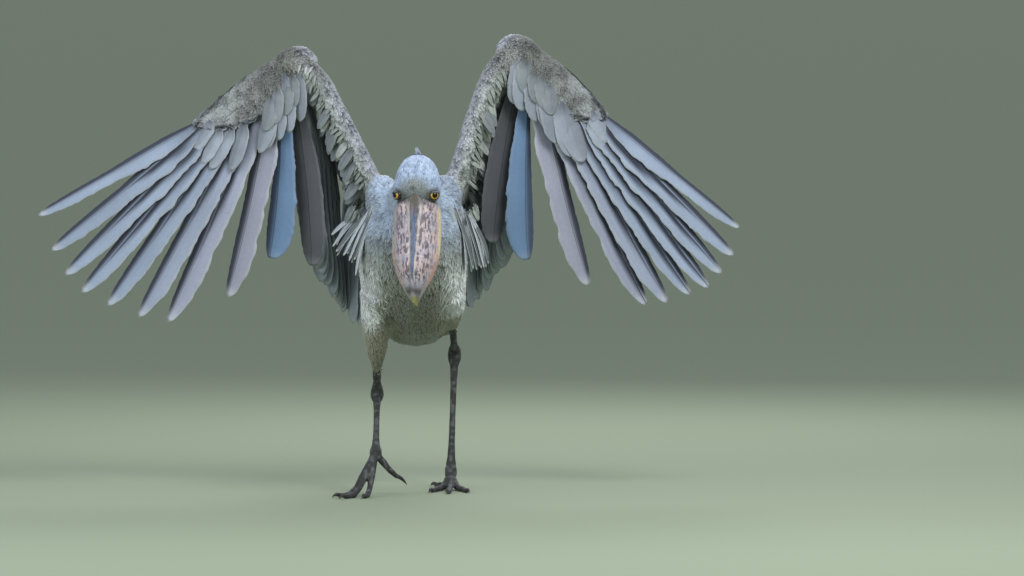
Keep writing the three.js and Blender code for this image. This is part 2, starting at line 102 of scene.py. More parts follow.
def noise3(p, scale, seed):
    """Soft value noise from 0 to 1 at the places p, with lumps of about the size scale."""
    q = np.asarray(p, float) / scale
    cell = np.floor(q).astype(np.int64)
    f = q - cell
    f = f * f * (3 - 2 * f)
    total = 0
    for dx in (0, 1):
        for dy in (0, 1):
            for dz in (0, 1):
                c = cell + np.array([dx, dy, dz])
                h = (c[..., 0] * HASH[0]) ^ (c[..., 1] * HASH[1]) ^ (c[..., 2] * HASH[2]) ^ (seed * HASH[3])
                h = (h ^ (h >> 13)) * HASH[4]
                value = ((h ^ (h >> 16)) & 0xFFFF) / 65535.0
                w = (f[..., 0] if dx else 1 - f[..., 0]) * (f[..., 1] if dy else 1 - f[..., 1])
                total = total + value * w * (f[..., 2] if dz else 1 - f[..., 2])
    return total


# Meshes.


def make_mesh(name, verts_mm, faces):
    mesh = bpy.data.meshes.new(name)
    verts = np.asarray(verts_mm, float).reshape(-1, 3) / 1000 + SHIFT
    faces = np.asarray(faces, np.int32)
    mesh.vertices.add(len(verts))
    mesh.vertices.foreach_set("co", verts.astype(np.float32).ravel())
    mesh.loops.add(faces.size)
    mesh.loops.foreach_set("vertex_index", faces.ravel())
    mesh.polygons.add(len(faces))
    mesh.polygons.foreach_set("loop_start", np.arange(0, faces.size, faces.shape[1], dtype=np.int32))
    mesh.polygons.foreach_set("use_smooth", np.ones(len(faces), bool))
    mesh.update(calc_edges=True)
    mesh.validate()
    obj = bpy.data.objects.new(name, mesh)
    bpy.context.scene.collection.objects.link(obj)
    return obj


def read(items, name, size, kind=np.float32):
    """A row of size values for each item of a mesh."""
    values = np.empty(len(items) * size, kind)
    items.foreach_get(name, values)
    return values.reshape(-1, size)


def set_tint(obj, colours):
    """colours holds one linear colour for each vertex."""
    layer = obj.data.color_attributes.new("tint", "FLOAT_COLOR", "POINT")
    rgba = np.ones((len(obj.data.vertices), 4), np.float32)
    rgba[:, :3] = np.clip(colours, 0, 1)
    layer.data.foreach_set("color", rgba.ravel())


def set_uv(obj, name, uv):
    """uv holds one place on the map for each vertex."""
    layer = obj.data.uv_layers.new(name=name)
    index = read(obj.data.loops, "vertex_index", 1, np.int32).ravel()
    layer.data.foreach_set("uv", uv[index].astype(np.float32).ravel())


def places_mm(obj):
    return (read(obj.data.vertices, "co", 3) - SHIFT) * 1000


def vertex_normals(obj):
    return read(obj.data.vertices, "normal", 3)


def split_quads(quads):
    return np.vstack([quads[:, [0, 1, 2]], quads[:, [0, 2, 3]]])


def closed_loft(rings):
    """Vertices and triangles of a closed body skinned over the rings, an array of rows x count x 3."""
    rows, count, _ = rings.shape
    verts = np.vstack([rings.reshape(-1, 3), rings[0].mean(0), rings[-1].mean(0)])
    r, i = np.meshgrid(np.arange(rows - 1), np.arange(count), indexing="ij")
    a = r * count + i
    b = r * count + (i + 1) % count
    sides = split_quads(np.stack([a, b, b + count, a + count], -1).reshape(-1, 4))
    i = np.arange(count)
    j = (i + 1) % count
    hub = rows * count
    last = (rows - 1) * count
    first_cap = np.stack([j, i, np.full(count, hub)], -1)
    last_cap = np.stack([last + i, last + j, np.full(count, hub + 1)], -1)
    return verts, np.vstack([sides, first_cap, last_cap])


def set_loft_tint(obj, colours):
    """Tints a closed loft from one colour for each ring vertex. The hubs take their ring's mean."""
    set_tint(obj, np.vstack([colours.reshape(-1, 3), colours[0].mean(0), colours[-1].mean(0)]))


def fix_outward(obj):
    """Turns the faces to point out, judged by the mesh's signed volume."""
    a, b, c = (places_mm(obj)[corner] for corner in read(obj.data.polygons, "vertices", 3, np.int32).T)
    if (a * np.cross(b, c)).sum() < 0:
        obj.data.flip_normals()


def ring_body(stations, side, steps=28, count=28):
    """A rounded body along a smooth line, from stations of (centre, half width, half depth)."""
    t = np.linspace(0, 1, steps + 1)
    centre = smooth_line([s[0] for s in stations], t)
    sizes = smooth_line([[s[1], s[2], 0] for s in stations], t)
    along = unit(np.gradient(centre, axis=0))
    side = np.asarray(side, float)
    across = unit(side - along * (along @ side)[:, None])
    up = np.cross(across, along)
    turn = np.linspace(0, 2 * math.pi, count, endpoint=False)
    u, v = (wave(turn)[None, :, None] for wave in (np.cos, np.sin))
    a, b = (np.maximum(sizes[:, k], 0.5)[:, None, None] for k in (0, 1))
    return centre[:, None] + across[:, None] * u * a + up[:, None] * v * b


# The head's own directions, as in the solids: ahead along the bill, crown out of its ridge, and beside.
BILL_LENGTH = 230.0
PITCH = math.radians(73)
YAW = math.radians(-8)


def yawed(v):
    c, s = math.cos(YAW), math.sin(YAW)
    return arr(c * v[0] - s * v[1], s * v[0] + c * v[1], v[2])


BILL_BASE = arr(3, -222, 618)
AHEAD = yawed((0, -math.cos(PITCH), -math.sin(PITCH)))
CROWN = yawed((0, -math.sin(PITCH), math.cos(PITCH)))
BESIDE = yawed((1, 0, 0))


def in_head(ahead, crown, beside=0.0):
    ahead, crown, beside = np.broadcast_arrays(*[np.asarray(k, float) for k in (ahead, crown, beside)])
    return BILL_BASE + ahead[..., None] * AHEAD + crown[..., None] * CROWN + beside[..., None] * BESIDE


# Wings, with the same places as the solids. A fan holds each primary's fall in degrees and its reach.
WINGS = {
    "left": {
        "mirror": 1,
        "front": [(64, 6, 596), (100, -22, 690), (130, -34, 790), (172, -38, 882), (218, -28, 930)],
        "back": [(66, 150, 530), (128, 215, 596), (166, 232, 684), (206, 160, 794), (240, 60, 890)],
        "elbow": arr(152, 178, 706),
        "wrist": arr(222, -8, 922),
        "hand_tip": arr(398, 14, 796),
        "secondary_tip": arr(208, 112, 478),
        "tertial_tips": [arr(138, 285, 376), arr(121, 262, 352)],
        "fan": [(97, 424), (87, 458), (73, 536), (63, 622), (59.2, 640)]
        + [(54.6, 652), (51, 664), (47.4, 658), (43.4, 648), (38.6, 618)],
    },
    "right": {
        "mirror": -1,
        "front": [(-64, 6, 596), (-112, -22, 690), (-157, -34, 780), (-200, -38, 856), (-248, -28, 902)],
        "back": [(-66, 150, 530), (-134, 215, 594), (-182, 232, 674), (-230, 160, 774), (-268, 60, 864)],
        "elbow": arr(-168, 178, 696),
        "wrist": arr(-256, -8, 896),
        "hand_tip": arr(-456, 14, 778),
        "secondary_tip": arr(-222, 112, 456),
        "tertial_tips": [arr(-158, 285, 340), arr(-123, 262, 306)],
        "fan": [(94, 446), (82, 432), (73.4, 534), (63.4, 632), (58, 654)]
        + [(52, 672), (46.8, 686), (42.4, 684), (37.4, 672), (30.6, 652)],
    },
}
LEGS = {
    "left": {
        "mirror": 1,
        "knee": arr(76, 20, 412),
        "feathered": 0.62,
        "ankle": arr(85, 232, 254),
        "joint": arr(77, 176, 0),
        "heading": -1,
        "reach": 1.0,
        "toe_end": 5.0,
        "hind_end": (5.0, 0.2),
    },
    "right": {
        "mirror": -1,
        "knee": arr(-84, 6, 402),
        "feathered": 0.8,
        "ankle": arr(-84, 156, 168),
        "joint": arr(-84, -38, 54),
        "heading": -30,
        "reach": 0.78,
        "toe_end": 5.0,
        "hind_end": (38.0, -14.0),
    },
}
FLOOR = -42.0
# Each toe's length and spread in degrees, the hind toe last, and its claw's length.
TOES = [(132, -17), (168, 0), (140, 16), (70, -150)]
CLAWS = [19, 22, 19, 22]


def arm_rings(wing):
    """Sections of the arm from the shoulder to the wrist, with an oval nose and a thin rear edge."""
    inset = 2
    t = np.linspace(0, 1, 40)
    nose = smooth_line(wing["front"], t)
    chord = smooth_line(wing["back"], t) - nose
    length = np.linalg.norm(chord, axis=1)[:, None]
    chord = chord / length
    normal = unit(np.cross(chord, np.gradient(nose, axis=0)))
    swell = (mix(25, 27, np.sin(math.pi * t)) - 3 * t)[:, None]
    shape = np.array([(-0.1, 0), (-0.06, 0.62), (0.04, 0.96), (0.2, 1), (0.5, 0.72), (0.8, 0.4), (1, 0.1)])
    upper = smooth_line(np.c_[shape, np.zeros(len(shape))], np.linspace(0, 1, 18))
    c = np.r_[upper[:, 0], upper[1:, 0][::-1]]
    h = np.r_[upper[:, 1], -upper[1:, 1][::-1]]
    ahead = chord[:, None] * (c[None, :, None] * (length - 2 * inset)[:, None] + inset)
    return nose[:, None] + ahead + normal[:, None] * h[None, :, None] * swell[:, None]


def hand_rings(wing):
    """The hand, from shares along the bone, mm below it, half width and half depth."""
    sections = [(-0.14, 14, 22, 18), (0, 16, 44, 27), (0.35, 22, 52, 22), (0.7, 22, 44, 15)]
    sections += [(1.0, 14, 26, 9), (1.14, 6, 8, 4)]
    bone = (wing["wrist"], wing["hand_tip"])
    stations = [(mix(*bone, t) + arr(0, 0, -1) * fall, wide, deep) for t, fall, wide, deep in sections]
    return ring_body(stations, (-wing["mirror"] * 0.5, 0, -0.86))


# One skin over all the feathered flesh: the solids' neck, trunk and thighs, and smooth bodies for the rest.
SHELL_NODES = ["neck", "trunk", "leg_left_thigh", "leg_right_thigh"]
SKIN_VOXEL = 0.0045
SKULL = [
    (in_head(38, -58), 40, 24),
    (in_head(17, -49), 51, 36),
    (in_head(-3, -39), 54, 42),
    (in_head(-22, -33), 53.5, 47),
    (in_head(-44, -32), 50, 49),
    (in_head(-65, -37), 43, 44),
    (in_head(-80, -43), 30, 31),
    (in_head(-88, -47), 10, 9),
]


def wrist_rings(wing):
    sections = [(-46, -10, 20, 16), (-22, -8, 41, 30), (2, -8, 44, 33), (26, -14, 38, 30), (46, -20, 20, 16)]
    stations = [(wing["wrist"] + arr(wing["mirror"] * x, 0, z), wide, deep) for x, z, wide, deep in sections]
    return ring_body(stations, (0, 0, 1))


def cad_shell(node):
    """A solid's places and triangles, with its doubled vertices joined."""
    obj = frame["nodes"][node]
    tris = []
    for polygon in obj.data.polygons:
        v = list(polygon.vertices)
        tris += [(v[0], v[i], v[i + 1]) for i in range(1, len(v) - 1)]
    places, back = np.unique(np.round(places_mm(obj), 3), axis=0, return_inverse=True)
    tris = back.reshape(-1)[np.array(tris)]
    a, b, c = tris.T
    return places, tris[(a != b) & (b != c) & (a != c)]


def apply_modifiers(obj):
    deps = bpy.context.evaluated_depsgraph_get()
    mesh = bpy.data.meshes.new_from_object(obj.evaluated_get(deps))
    obj.modifiers.clear()
    old = obj.data
    obj.data = mesh
    bpy.data.meshes.remove(old)


def remeshed(name, shells, voxel, smoothing):
    verts, faces, base = [], [], 0
    for v, f in shells:
        verts.append(v)
        faces.append(f + base)
        base += len(v)
    obj = make_mesh(name, np.vstack(verts), np.vstack(faces))
    obj.modifiers.new("remesh", "REMESH").mode = "VOXEL"
    obj.modifiers["remesh"].voxel_size = voxel
    obj.modifiers["remesh"].use_smooth_shade = True
    smooth = obj.modifiers.new("smooth", "SMOOTH")
    smooth.factor = 0.5
    smooth.iterations = smoothing
    obj.modifiers.new("tris", "TRIANGULATE")
    apply_modifiers(obj)
    return obj


def skin_depth(co):
    """How far the skin lies inside the solids at each place."""
    head = smoothstep(co[:, 2], 600, 632) * smoothstep(-co[:, 1], 150, 190)
    high = smoothstep(co[:, 2], 800, 880)
    return mix(mix(8.0, 3.5, high), 2.6, head)


TAIL_ROOT = [(arr(0, 262, 352), 58, 34), (arr(0, 350, 331), 44, 21), (arr(0, 430, 308), 32, 9)]
NECK_FILL = [
    (arr(0, 20, 560), 74, 56),
    (arr(0, -60, 584), 72, 58),
    (arr(1, -112, 606), 62, 56),
    (arr(2, -146, 632), 50, 48),
    (arr(3, -176, 650), 40, 40),
]


def build_skin():
    shells = [cad_shell(node) for node in SHELL_NODES]
    rings = [ring_body(SKULL, BESIDE)]
    for wing in WINGS.values():
        rings += [arm_rings(wing), hand_rings(wing), wrist_rings(wing)]
    rings += [ring_body(TAIL_ROOT, (1, 0, 0)), ring_body(NECK_FILL, (1, 0, 0))]
    skin = remeshed("skin", shells + [closed_loft(body) for body in rings], SKIN_VOXEL, 9)
    co = places_mm(skin)
    inside = co - vertex_normals(skin) * skin_depth(co)[:, None]
    skin.data.vertices.foreach_set("co", (inside / 1000 + SHIFT).astype(np.float32).ravel())
    skin.data.update()
    return skin


skin = build_skin()

# The skin's own unwrap, used to place each feather's patch on the baked map.
UNWRAP_ANGLE = math.radians(66)
UNWRAP_MARGIN = 0.002


def unwrap(obj):
    bpy.ops.object.select_all(action="DESELECT")
    obj.select_set(True)
    bpy.context.view_layer.objects.active = obj
    obj.data.uv_layers.new(name="OFBake")
    bpy.ops.object.mode_set(mode="EDIT")
    bpy.ops.mesh.select_all(action="SELECT")
    bpy.ops.uv.smart_project(angle_limit=UNWRAP_ANGLE, island_margin=UNWRAP_MARGIN)
    bpy.ops.object.mode_set(mode="OBJECT")


unwrap(skin)


class Surface:
    """A triangle mesh to look up the nearest place, normal and unwrap place on."""

    def __init__(self, obj):
        mesh = obj.data
        self.co = places_mm(obj)
        self.normals = vertex_normals(obj)
        self.tris = read(mesh.polygons, "vertices", 3, np.int32)
        self.uv = read(mesh.uv_layers["OFBake"].data, "uv", 2).reshape(-1, 3, 2)
        self.tree = BVHTree.FromPolygons(self.co.tolist(), self.tris.tolist(), all_triangles=True)
        a, b, c = (self.co[self.tris[:, k]] for k in range(3))
        self.area = np.linalg.norm(np.cross(b - a, c - a), axis=1) / 2

    def blend(self, face, w):
        """Places, smooth normals and unwrap places inside faces, from the weights of their corners."""
        t = self.tris[face]
        w = w[..., None]
        return (self.co[t] * w).sum(1), unit((self.normals[t] * w).sum(1)), (self.uv[face] * w).sum(1)

    def snap(self, points):
        """Nearest places on the surface, with smooth normals and unwrap places."""
        found = np.empty((len(points), 3))
        face = np.empty(len(points), np.int64)
        for i, p in enumerate(points.tolist()):
            where, _, k, _ = self.tree.find_nearest(p)
            found[i] = where
            face[i] = k
        t = self.tris[face]
        a, b, c = self.co[t[:, 0]], self.co[t[:, 1]], self.co[t[:, 2]]
        v0, v1, v2 = b - a, c - a, found - a
        d00, d01, d11 = (v0 * v0).sum(1), (v0 * v1).sum(1), (v1 * v1).sum(1)
        d20, d21 = (v2 * v0).sum(1), (v2 * v1).sum(1)
        den = np.maximum(d00 * d11 - d01 * d01, 1e-12)
        w1 = np.clip((d11 * d20 - d01 * d21) / den, 0, 1)
        w2 = np.clip((d00 * d21 - d01 * d20) / den, 0, 1)
        _, normal, uv = self.blend(face, np.stack([np.clip(1 - w1 - w2, 0, 1), w1, w2], -1))
        return found, normal, uv

    def scatter(self, count, density):
        """Random places on the surface. density gives each triangle's share, from its middle."""
        middle = self.co[self.tris].mean(1)
        weight = self.area * density(middle)
        pick = rng.choice(len(self.tris), size=count, p=weight / weight.sum())
        r1, r2 = np.sqrt(rng.random(count)), rng.random(count)
        return self.blend(pick, np.stack([1 - r1, r1 * (1 - r2), r1 * r2], -1))


def thin_out(points, spacing):
    """Indices of points kept so that about one is left in each cell of its own spacing."""
    level = np.round(np.log2(spacing) * 6) / 6
    size = 2.0**level
    q = points / size[:, None]
    cell = np.floor(q).astype(np.int64)
    off = np.abs(q - cell - 0.5).max(1)
    key = np.c_[np.round(level * 6).astype(np.int64), cell]
    order = np.argsort(off, kind="stable")
    _, first = np.unique(key[order], axis=0, return_index=True)
    return order[first]


# Where each place on the bird belongs.
def segment_share(p, a, b):
    d = b - a
    t = ((p - a) @ d) / (d @ d)
    near = a + np.clip(t, 0, 1)[:, None] * d
    return t, np.linalg.norm(p - near, axis=1)


def arm_place(wing, p):
    """Shares along the arm and its chord, distance, the chord's direction, and mm to the underside."""
    t = np.linspace(0, 1, 60)
    nose = smooth_line(wing["front"], t)
    trail = smooth_line(wing["back"], t)
    chord = unit(trail - nose)
    below = unit(np.cross(chord, np.gradient(nose, axis=0)))
    best = np.full(len(p), 1e9)
    share = np.zeros(len(p))
    across = np.zeros(len(p))
    under = np.zeros(len(p))
    chord_way = np.zeros((len(p), 3))
    for k in range(len(t)):
        c, d = segment_share(p, nose[k], trail[k])
        closer = d < best
        best[closer] = d[closer]
        share[closer] = t[k]
        across[closer] = c[closer]
        under[closer] = (p[closer] - nose[k]) @ below[k] * wing["mirror"]
        chord_way[closer] = chord[k]
    return share, across, best, chord_way, under


# A place's region is its number in this list.
REGIONS = ["head", "neck", "trunk", "thigh", "arm", "hand"]
HEAD, NECK, TRUNK, THIGH, ARM, HAND = range(len(REGIONS))


def locate(p):
    """Region number, shares along and across it, the feathers' way and the mm to a wing's underside."""
    n = len(p)
    under = np.zeros(n)
    region = np.full(n, TRUNK)
    along = np.zeros(n)
    across = np.zeros(n)
    flow = np.zeros((n, 3))
    head_axis = in_head(arr(-92, 16), arr(-30, -40))
    _, d_head = segment_share(p, head_axis[0], head_axis[1])
    _, d_neck = segment_share(p, arr(0, -60, 570), arr(3, -160, 640))
    region[(d_neck < 78) & (p[:, 1] < -112) & (p[:, 2] > 575)] = NECK
    region[(d_head < 60) & (p[:, 2] > 575) & (p[:, 1] < -165)] = HEAD
    # Trunk flow runs back along the spine and down over the breast.
    back = unit(arr(0, 0.92, -0.38))
    down = unit(arr(0, 0.30, -0.95))
    breast = smoothstep(-p[:, 1], -150, 120) * smoothstep(-(p[:, 2] - (560 - 0.36 * (p[:, 1] + 60))), -60, 90)
    flow[:] = unit(mix(back, down, breast[:, None]))
    flow[:, 0] -= np.sign(p[:, 0]) * 0.10 * smoothstep(p[:, 1], -80, 150)
    is_head = region == HEAD
    flow[is_head] = -AHEAD + CROWN * -0.12
    is_neck = region == NECK
    flow[is_neck] = unit(arr(0, 0.55, -0.83))
    for leg in LEGS.values():
        t, d = segment_share(p, leg["knee"], leg["ankle"])
        beside = np.abs(p[:, 0] - leg["knee"][0])
        on = (d < 50) & (t > 0.12) & (beside < 46) & (p[:, 2] < 378) & (region == TRUNK)
        outside = segment_share(p, arr(0, -60, 520), arr(0, 300, 345))[1] > 126
        on &= outside | (t > leg["feathered"] * 0.62)
        region[on] = THIGH
        along[on] = t[on]
        flow[on] = unit(leg["ankle"] - leg["knee"])
    for wing in WINGS.values():
        m = wing["mirror"]
        side = p[:, 0] * m > 0
        share, chord, d, way, below = arm_place(wing, p)
        on = side & (d < 34) & (share > 0.1) & (p[:, 2] > 560) & ~is_head & ~(is_neck & (share < 0.2))
        region[on] = ARM
        along[on] = share[on]
        across[on] = chord[on]
        under[on] = below[on]
        hang = unit(arr(m * 0.1, 0.16, -1.0))
        flow[on] = unit(way[on] * 0.62 + hang * 0.5)
        t, d = segment_share(p, wing["wrist"] + arr(0, 0, -16), wing["hand_tip"] + arr(0, 0, -14))
        beyond = (p - wing["wrist"]) @ arr(m, 0, 0) > 4
        on = side & (d < 66) & beyond & (p[:, 1] < 48)
        region[on] = HAND
        along[on] = t[on]
        middle = mix(wing["wrist"][1], wing["hand_tip"][1], np.clip(t[on], 0, 1))
        under[on] = middle - p[on, 1]
        bone = unit(wing["hand_tip"] - wing["wrist"])
        fall = np.cross(bone, arr(0, m, 0))
        fall = fall * -np.sign(fall[2]) if fall[2] > 0 else fall
        across[on] = ((p[on] - wing["wrist"]) @ fall) + 20
        falls = [fall_angle for fall_angle, _ in wing["fan"]]
        angle = np.radians(np.interp(np.clip(t[on], 0, 1), np.linspace(0, 1, len(falls)), falls))
        flow[on] = np.stack([m * np.cos(angle), np.zeros(on.sum()), -np.sin(angle)], -1)
    return region, along, across, flow, under


# Colours, as linear light.
C_HEAD = srgb(172, 192, 222)
C_HEAD_DARK = srgb(118, 136, 164)
# Painted shade on the forehead, also used, darker, on the upper lids.
C_FOREHEAD = srgb(126, 132, 128)
C_NECK = srgb(152, 170, 194)
C_BREAST = srgb(106, 116, 114)
C_BELLY = srgb(106, 108, 86)
C_BELLY_PAINTED_SHADE = srgb(66, 70, 48)
C_FLUFF = srgb(132, 136, 128)
C_FLANK = srgb(240, 244, 246)
C_BACK = srgb(116, 126, 140)
C_THIGH = srgb(142, 140, 118)
C_THIGH_DARK = srgb(108, 104, 82)
C_ARM = srgb(208, 214, 218)
C_ARM_DARK = srgb(84, 88, 86)
C_LEADING = srgb(150, 154, 168)
C_LEADING_DARK = srgb(78, 82, 96)
C_WRIST = srgb(98, 102, 96)
C_WRIST_DARK = srgb(50, 54, 52)
C_UPPER = srgb(112, 122, 138)
C_PALE = srgb(214, 216, 214)
# Painted shade round the bill's base and beside the eyes.
C_FACE_PAINTED_SHADE = srgb(82, 84, 72)
EYES = {mirror: in_head(-2, -18, 38 * mirror) for mirror in (1, -1)}


def paint(base, colour, share):
    """The base with a colour laid over it, by each place's share from 0 to 1."""
    return mix(base, colour, np.asarray(share)[..., None])


def upper_side(p, low, high):
    """1 on the back and 0 below it, blended from y = low to high."""
    return smoothstep(p[:, 1] * 0.37 + p[:, 2] * 0.93, 470, 550) * smoothstep(p[:, 1], low, high)


def trunk_colour(p):
    low = smoothstep(-p[:, 2], -500, -390)
    centre = (1 - smoothstep(np.abs(p[:, 0]), 20, 74)) * smoothstep(-p[:, 1], -170, -40)
    fluff = smoothstep(-p[:, 2], -330, -296)
    flank = smoothstep(np.abs(p[:, 0] + 3), 58, 92) * smoothstep(-p[:, 2], -520, -440)
    flank = flank * smoothstep(p[:, 2], 296, 330) * smoothstep(-p[:, 1], -150, -50)
    c = np.tile(C_BREAST, (len(p), 1))
    c = paint(c, C_BELLY, low)
    # Painted shade darkens the middle of the lower belly, under the bill.
    c = paint(c, C_BELLY_PAINTED_SHADE, low * centre * (1 - fluff) * 0.85)
    c = paint(c, C_FLUFF, low * fluff * 0.8)
    c = paint(c, C_FLANK, flank * 0.9)
    c = paint(c, C_BACK, upper_side(p, -50, 40))
    c = paint(c, C_BACK * 1.15, smoothstep(p[:, 1], 200, 280))
    return paint(c, C_NECK, smoothstep(p[:, 2], 490, 570) * smoothstep(-p[:, 1], -30, 40))


def head_colour(p, mottle):
    brow = 1 - smoothstep(np.linalg.norm((p - in_head(-4, 2)) * arr(1, 1, 1.25), axis=1), 18, 46)
    spot = 1 - smoothstep(np.linalg.norm(p - in_head(-9, 3, -3), axis=1), 4, 9)
    c = paint(C_HEAD, C_HEAD_DARK, mottle * 0.7)
    # Painted shade on the forehead and beside the eyes, and a small painted shadow just behind the base of
    # the bill's ridge.
    c = paint(c, C_FOREHEAD, brow * 0.85)
    c = paint(c, C_FACE_PAINTED_SHADE * 0.5, spot * 0.8)
    for mirror, eye in EYES.items():
        shade_by_eye = 1 - smoothstep(np.linalg.norm(p - eye - AHEAD * 7 + BESIDE * mirror * 4, axis=1), 13, 25)
        c = paint(c, C_FACE_PAINTED_SHADE, shade_by_eye * 0.9)
    return c


def arm_colour(p, across, under):
    blotch = smoothstep(noise3(p, 8, 3) * 0.6 + noise3(p, 17, 4) * 0.4, 0.46, 0.66)
    edge = paint(C_LEADING, C_LEADING_DARK, smoothstep(noise3(p, 5, 6), 0.4, 0.66))
    leading = (1 - smoothstep(across, 0.0, 0.09)) * smoothstep(-under, -14, 4)
    c = paint(C_ARM, C_ARM_DARK, blotch * 0.8)
    c = paint(c, edge, leading * 0.85)
    c = paint(c, C_UPPER, smoothstep(-under, 2, 16) * smoothstep(across, 0.02, 0.2))
    return paint(c, C_UPPER * 0.8, smoothstep(across, 0.5, 0.8) * 0.8)


def hand_colour(p, along, under):
    blotch = smoothstep(noise3(p, 13, 5) * 0.5 + noise3(p, 26, 7) * 0.5, 0.4, 0.64)
    c = paint(C_ARM * 0.5, C_WRIST, (1 - smoothstep(along, 0.3, 0.9)) * 0.6)
    c = paint(c, C_WRIST_DARK, blotch * 0.75)
    return paint(c, C_UPPER, smoothstep(-under, -4, 9))


def ground_colour(p, spot):
    """The bird's markings, used by the skin and by every small feather. spot is what locate gives for p."""
    region, along, across, _, under = spot
    head, neck, trunk, thigh, arm, hand = (region == number for number in range(len(REGIONS)))
    c = trunk_colour(p)
    mottle = smoothstep(noise3(p, 5.5, 12), 0.42, 0.72)
    c[head] = head_colour(p, mottle)[head]
    c[neck] = paint(C_NECK, C_HEAD_DARK, mottle * 0.6)[neck]
    cloud = smoothstep(noise3(p, 15, 14) * 0.6 + noise3(p, 7, 15) * 0.4, 0.36, 0.64)[:, None]
    body = trunk | thigh
    c[body] = (c * mix(0.68, 1.2, cloud))[body]
    thigh_tone = paint(C_THIGH, C_THIGH_DARK, smoothstep(along, 0.3, 0.75))
    c[thigh] = paint(c, thigh_tone, smoothstep(along, 0.1, 0.34))[thigh]
    c[arm] = arm_colour(p[arm], across[arm], under[arm])
    c[hand] = hand_colour(p[hand], along[hand], under[hand])
    for wing in WINGS.values():
        near = 1 - smoothstep(np.linalg.norm((p - wing["wrist"]) * arr(1, 0.6, 1), axis=1), 30, 125)
        near = near * (arm | hand) * smoothstep(under, -26, -8)
        patch = smoothstep(noise3(p, 18, 61) * 0.7 + noise3(p, 8, 62) * 0.3, 0.36, 0.62)
        c = paint(c, paint(C_WRIST, C_WRIST_DARK, patch), near * 0.9)
    return c * mix(0.84, 1.14, noise3(p, 26, 9)[:, None])


# The skin shows between the feathers, so painted shade makes it darker than they are, except on the hand.
skin_spot = locate(places_mm(skin))
skin_painted_shade = np.where(skin_spot[0] == HAND, 0.95, 0.6)
set_tint(skin, ground_colour(places_mm(skin), skin_spot) * skin_painted_shade[:, None])
surface = Surface(skin)

# Feathers. Each one is a thin bowed vane of several columns over a centre line, fewer on the fluff.
COLUMNS = np.array([-1.0, -0.5, 0.0, 0.5, 1.0])
FLUFF_COLUMNS = np.array([-1.0, 0.0, 1.0])


def vane_outline(t, tip=0.62, pointed=1.0):
    """Width of a vane along its length: it widens from a narrow root, and rounds off beyond tip."""
    grow = 0.42 + 0.58 * smoothstep(t, 0, 0.35)
    end = np.sqrt(np.clip(1 - np.clip((t - tip) / (1.015 - tip), 0, 1) ** 2, 0, 1)) ** pointed
    return grow * end


class Coat:
    """Collects vanes and turns them into mesh pieces, each under the limit of triangles."""

    def __init__(self):
        self.verts, self.faces, self.tints, self.uvs = [], [], [], []
        self.count = 0

    def add(self, line, side, normal, half, tint, uv, fringe=0.25, shaft=0.12, columns=COLUMNS):
        """line, side and normal are (n, k, 3); half is (n, k); tint is (n, 3); uv is (n, 2)."""
        camber, root_dark, patch = 0.25, 0.35, 0.003
        n, k, _ = line.shape
        c = len(columns)
        u = columns[None, None, :, None]
        p = line[:, :, None] + side[:, :, None] * half[:, :, None, None] * u
        p = p - normal[:, :, None] * (half[:, :, None, None] * camber * u**2)
        p = p + normal[:, :, None] * (0.25 * (u == 0))
        t = np.linspace(0, 1, k)[None, :, None, None]
        edge = np.maximum(np.abs(u) ** 3, smoothstep(t, 0.82, 1.0))
        colour = tint[:, None, None, :] * (1 - root_dark * (1 - smoothstep(t, 0.1, 0.7)))
        colour = mix(colour, C_PALE * mix(0.8, 1.0, t), fringe * edge * smoothstep(t, 0.3, 0.8))
        colour = colour * (1 - shaft * (np.abs(u) < 0.1))
        grid = np.arange(n * k * c).reshape(n, k, c) + self.count
        quads = np.stack([grid[:, :-1, :-1], grid[:, :-1, 1:], grid[:, 1:, 1:], grid[:, 1:, :-1]], -1)
        place = np.stack(np.broadcast_arrays(u[..., 0] * 0.5, t[..., 0] - 0.5), -1)
        self.verts.append(p.reshape(-1, 3))
        self.faces.append(quads.reshape(-1, 4))
        self.tints.append(np.broadcast_to(colour, (n, k, c, 3)).reshape(-1, 3))
        self.uvs.append((uv[:, None, None] + np.broadcast_to(place, (n, k, c, 2)) * patch).reshape(-1, 2))
        self.count += n * k * c

    def build(self, name, material, body="root", limit=95000):
        """Makes the pieces. limit is the number of quads in each."""
        verts, faces = np.vstack(self.verts), np.vstack(self.faces)
        tints, uvs = np.vstack(self.tints), np.vstack(self.uvs)
        for part, first in enumerate(range(0, len(faces), limit)):
            some = faces[first : first + limit]
            used, back = np.unique(some, return_inverse=True)
            obj = make_mesh(f"{name}_{part + 1}", verts[used], back.reshape(some.shape))
            set_tint(obj, tints[used])
            set_uv(obj, "OFBake", uvs[used])
            obj.data.materials.append(material)
            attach(obj, body)


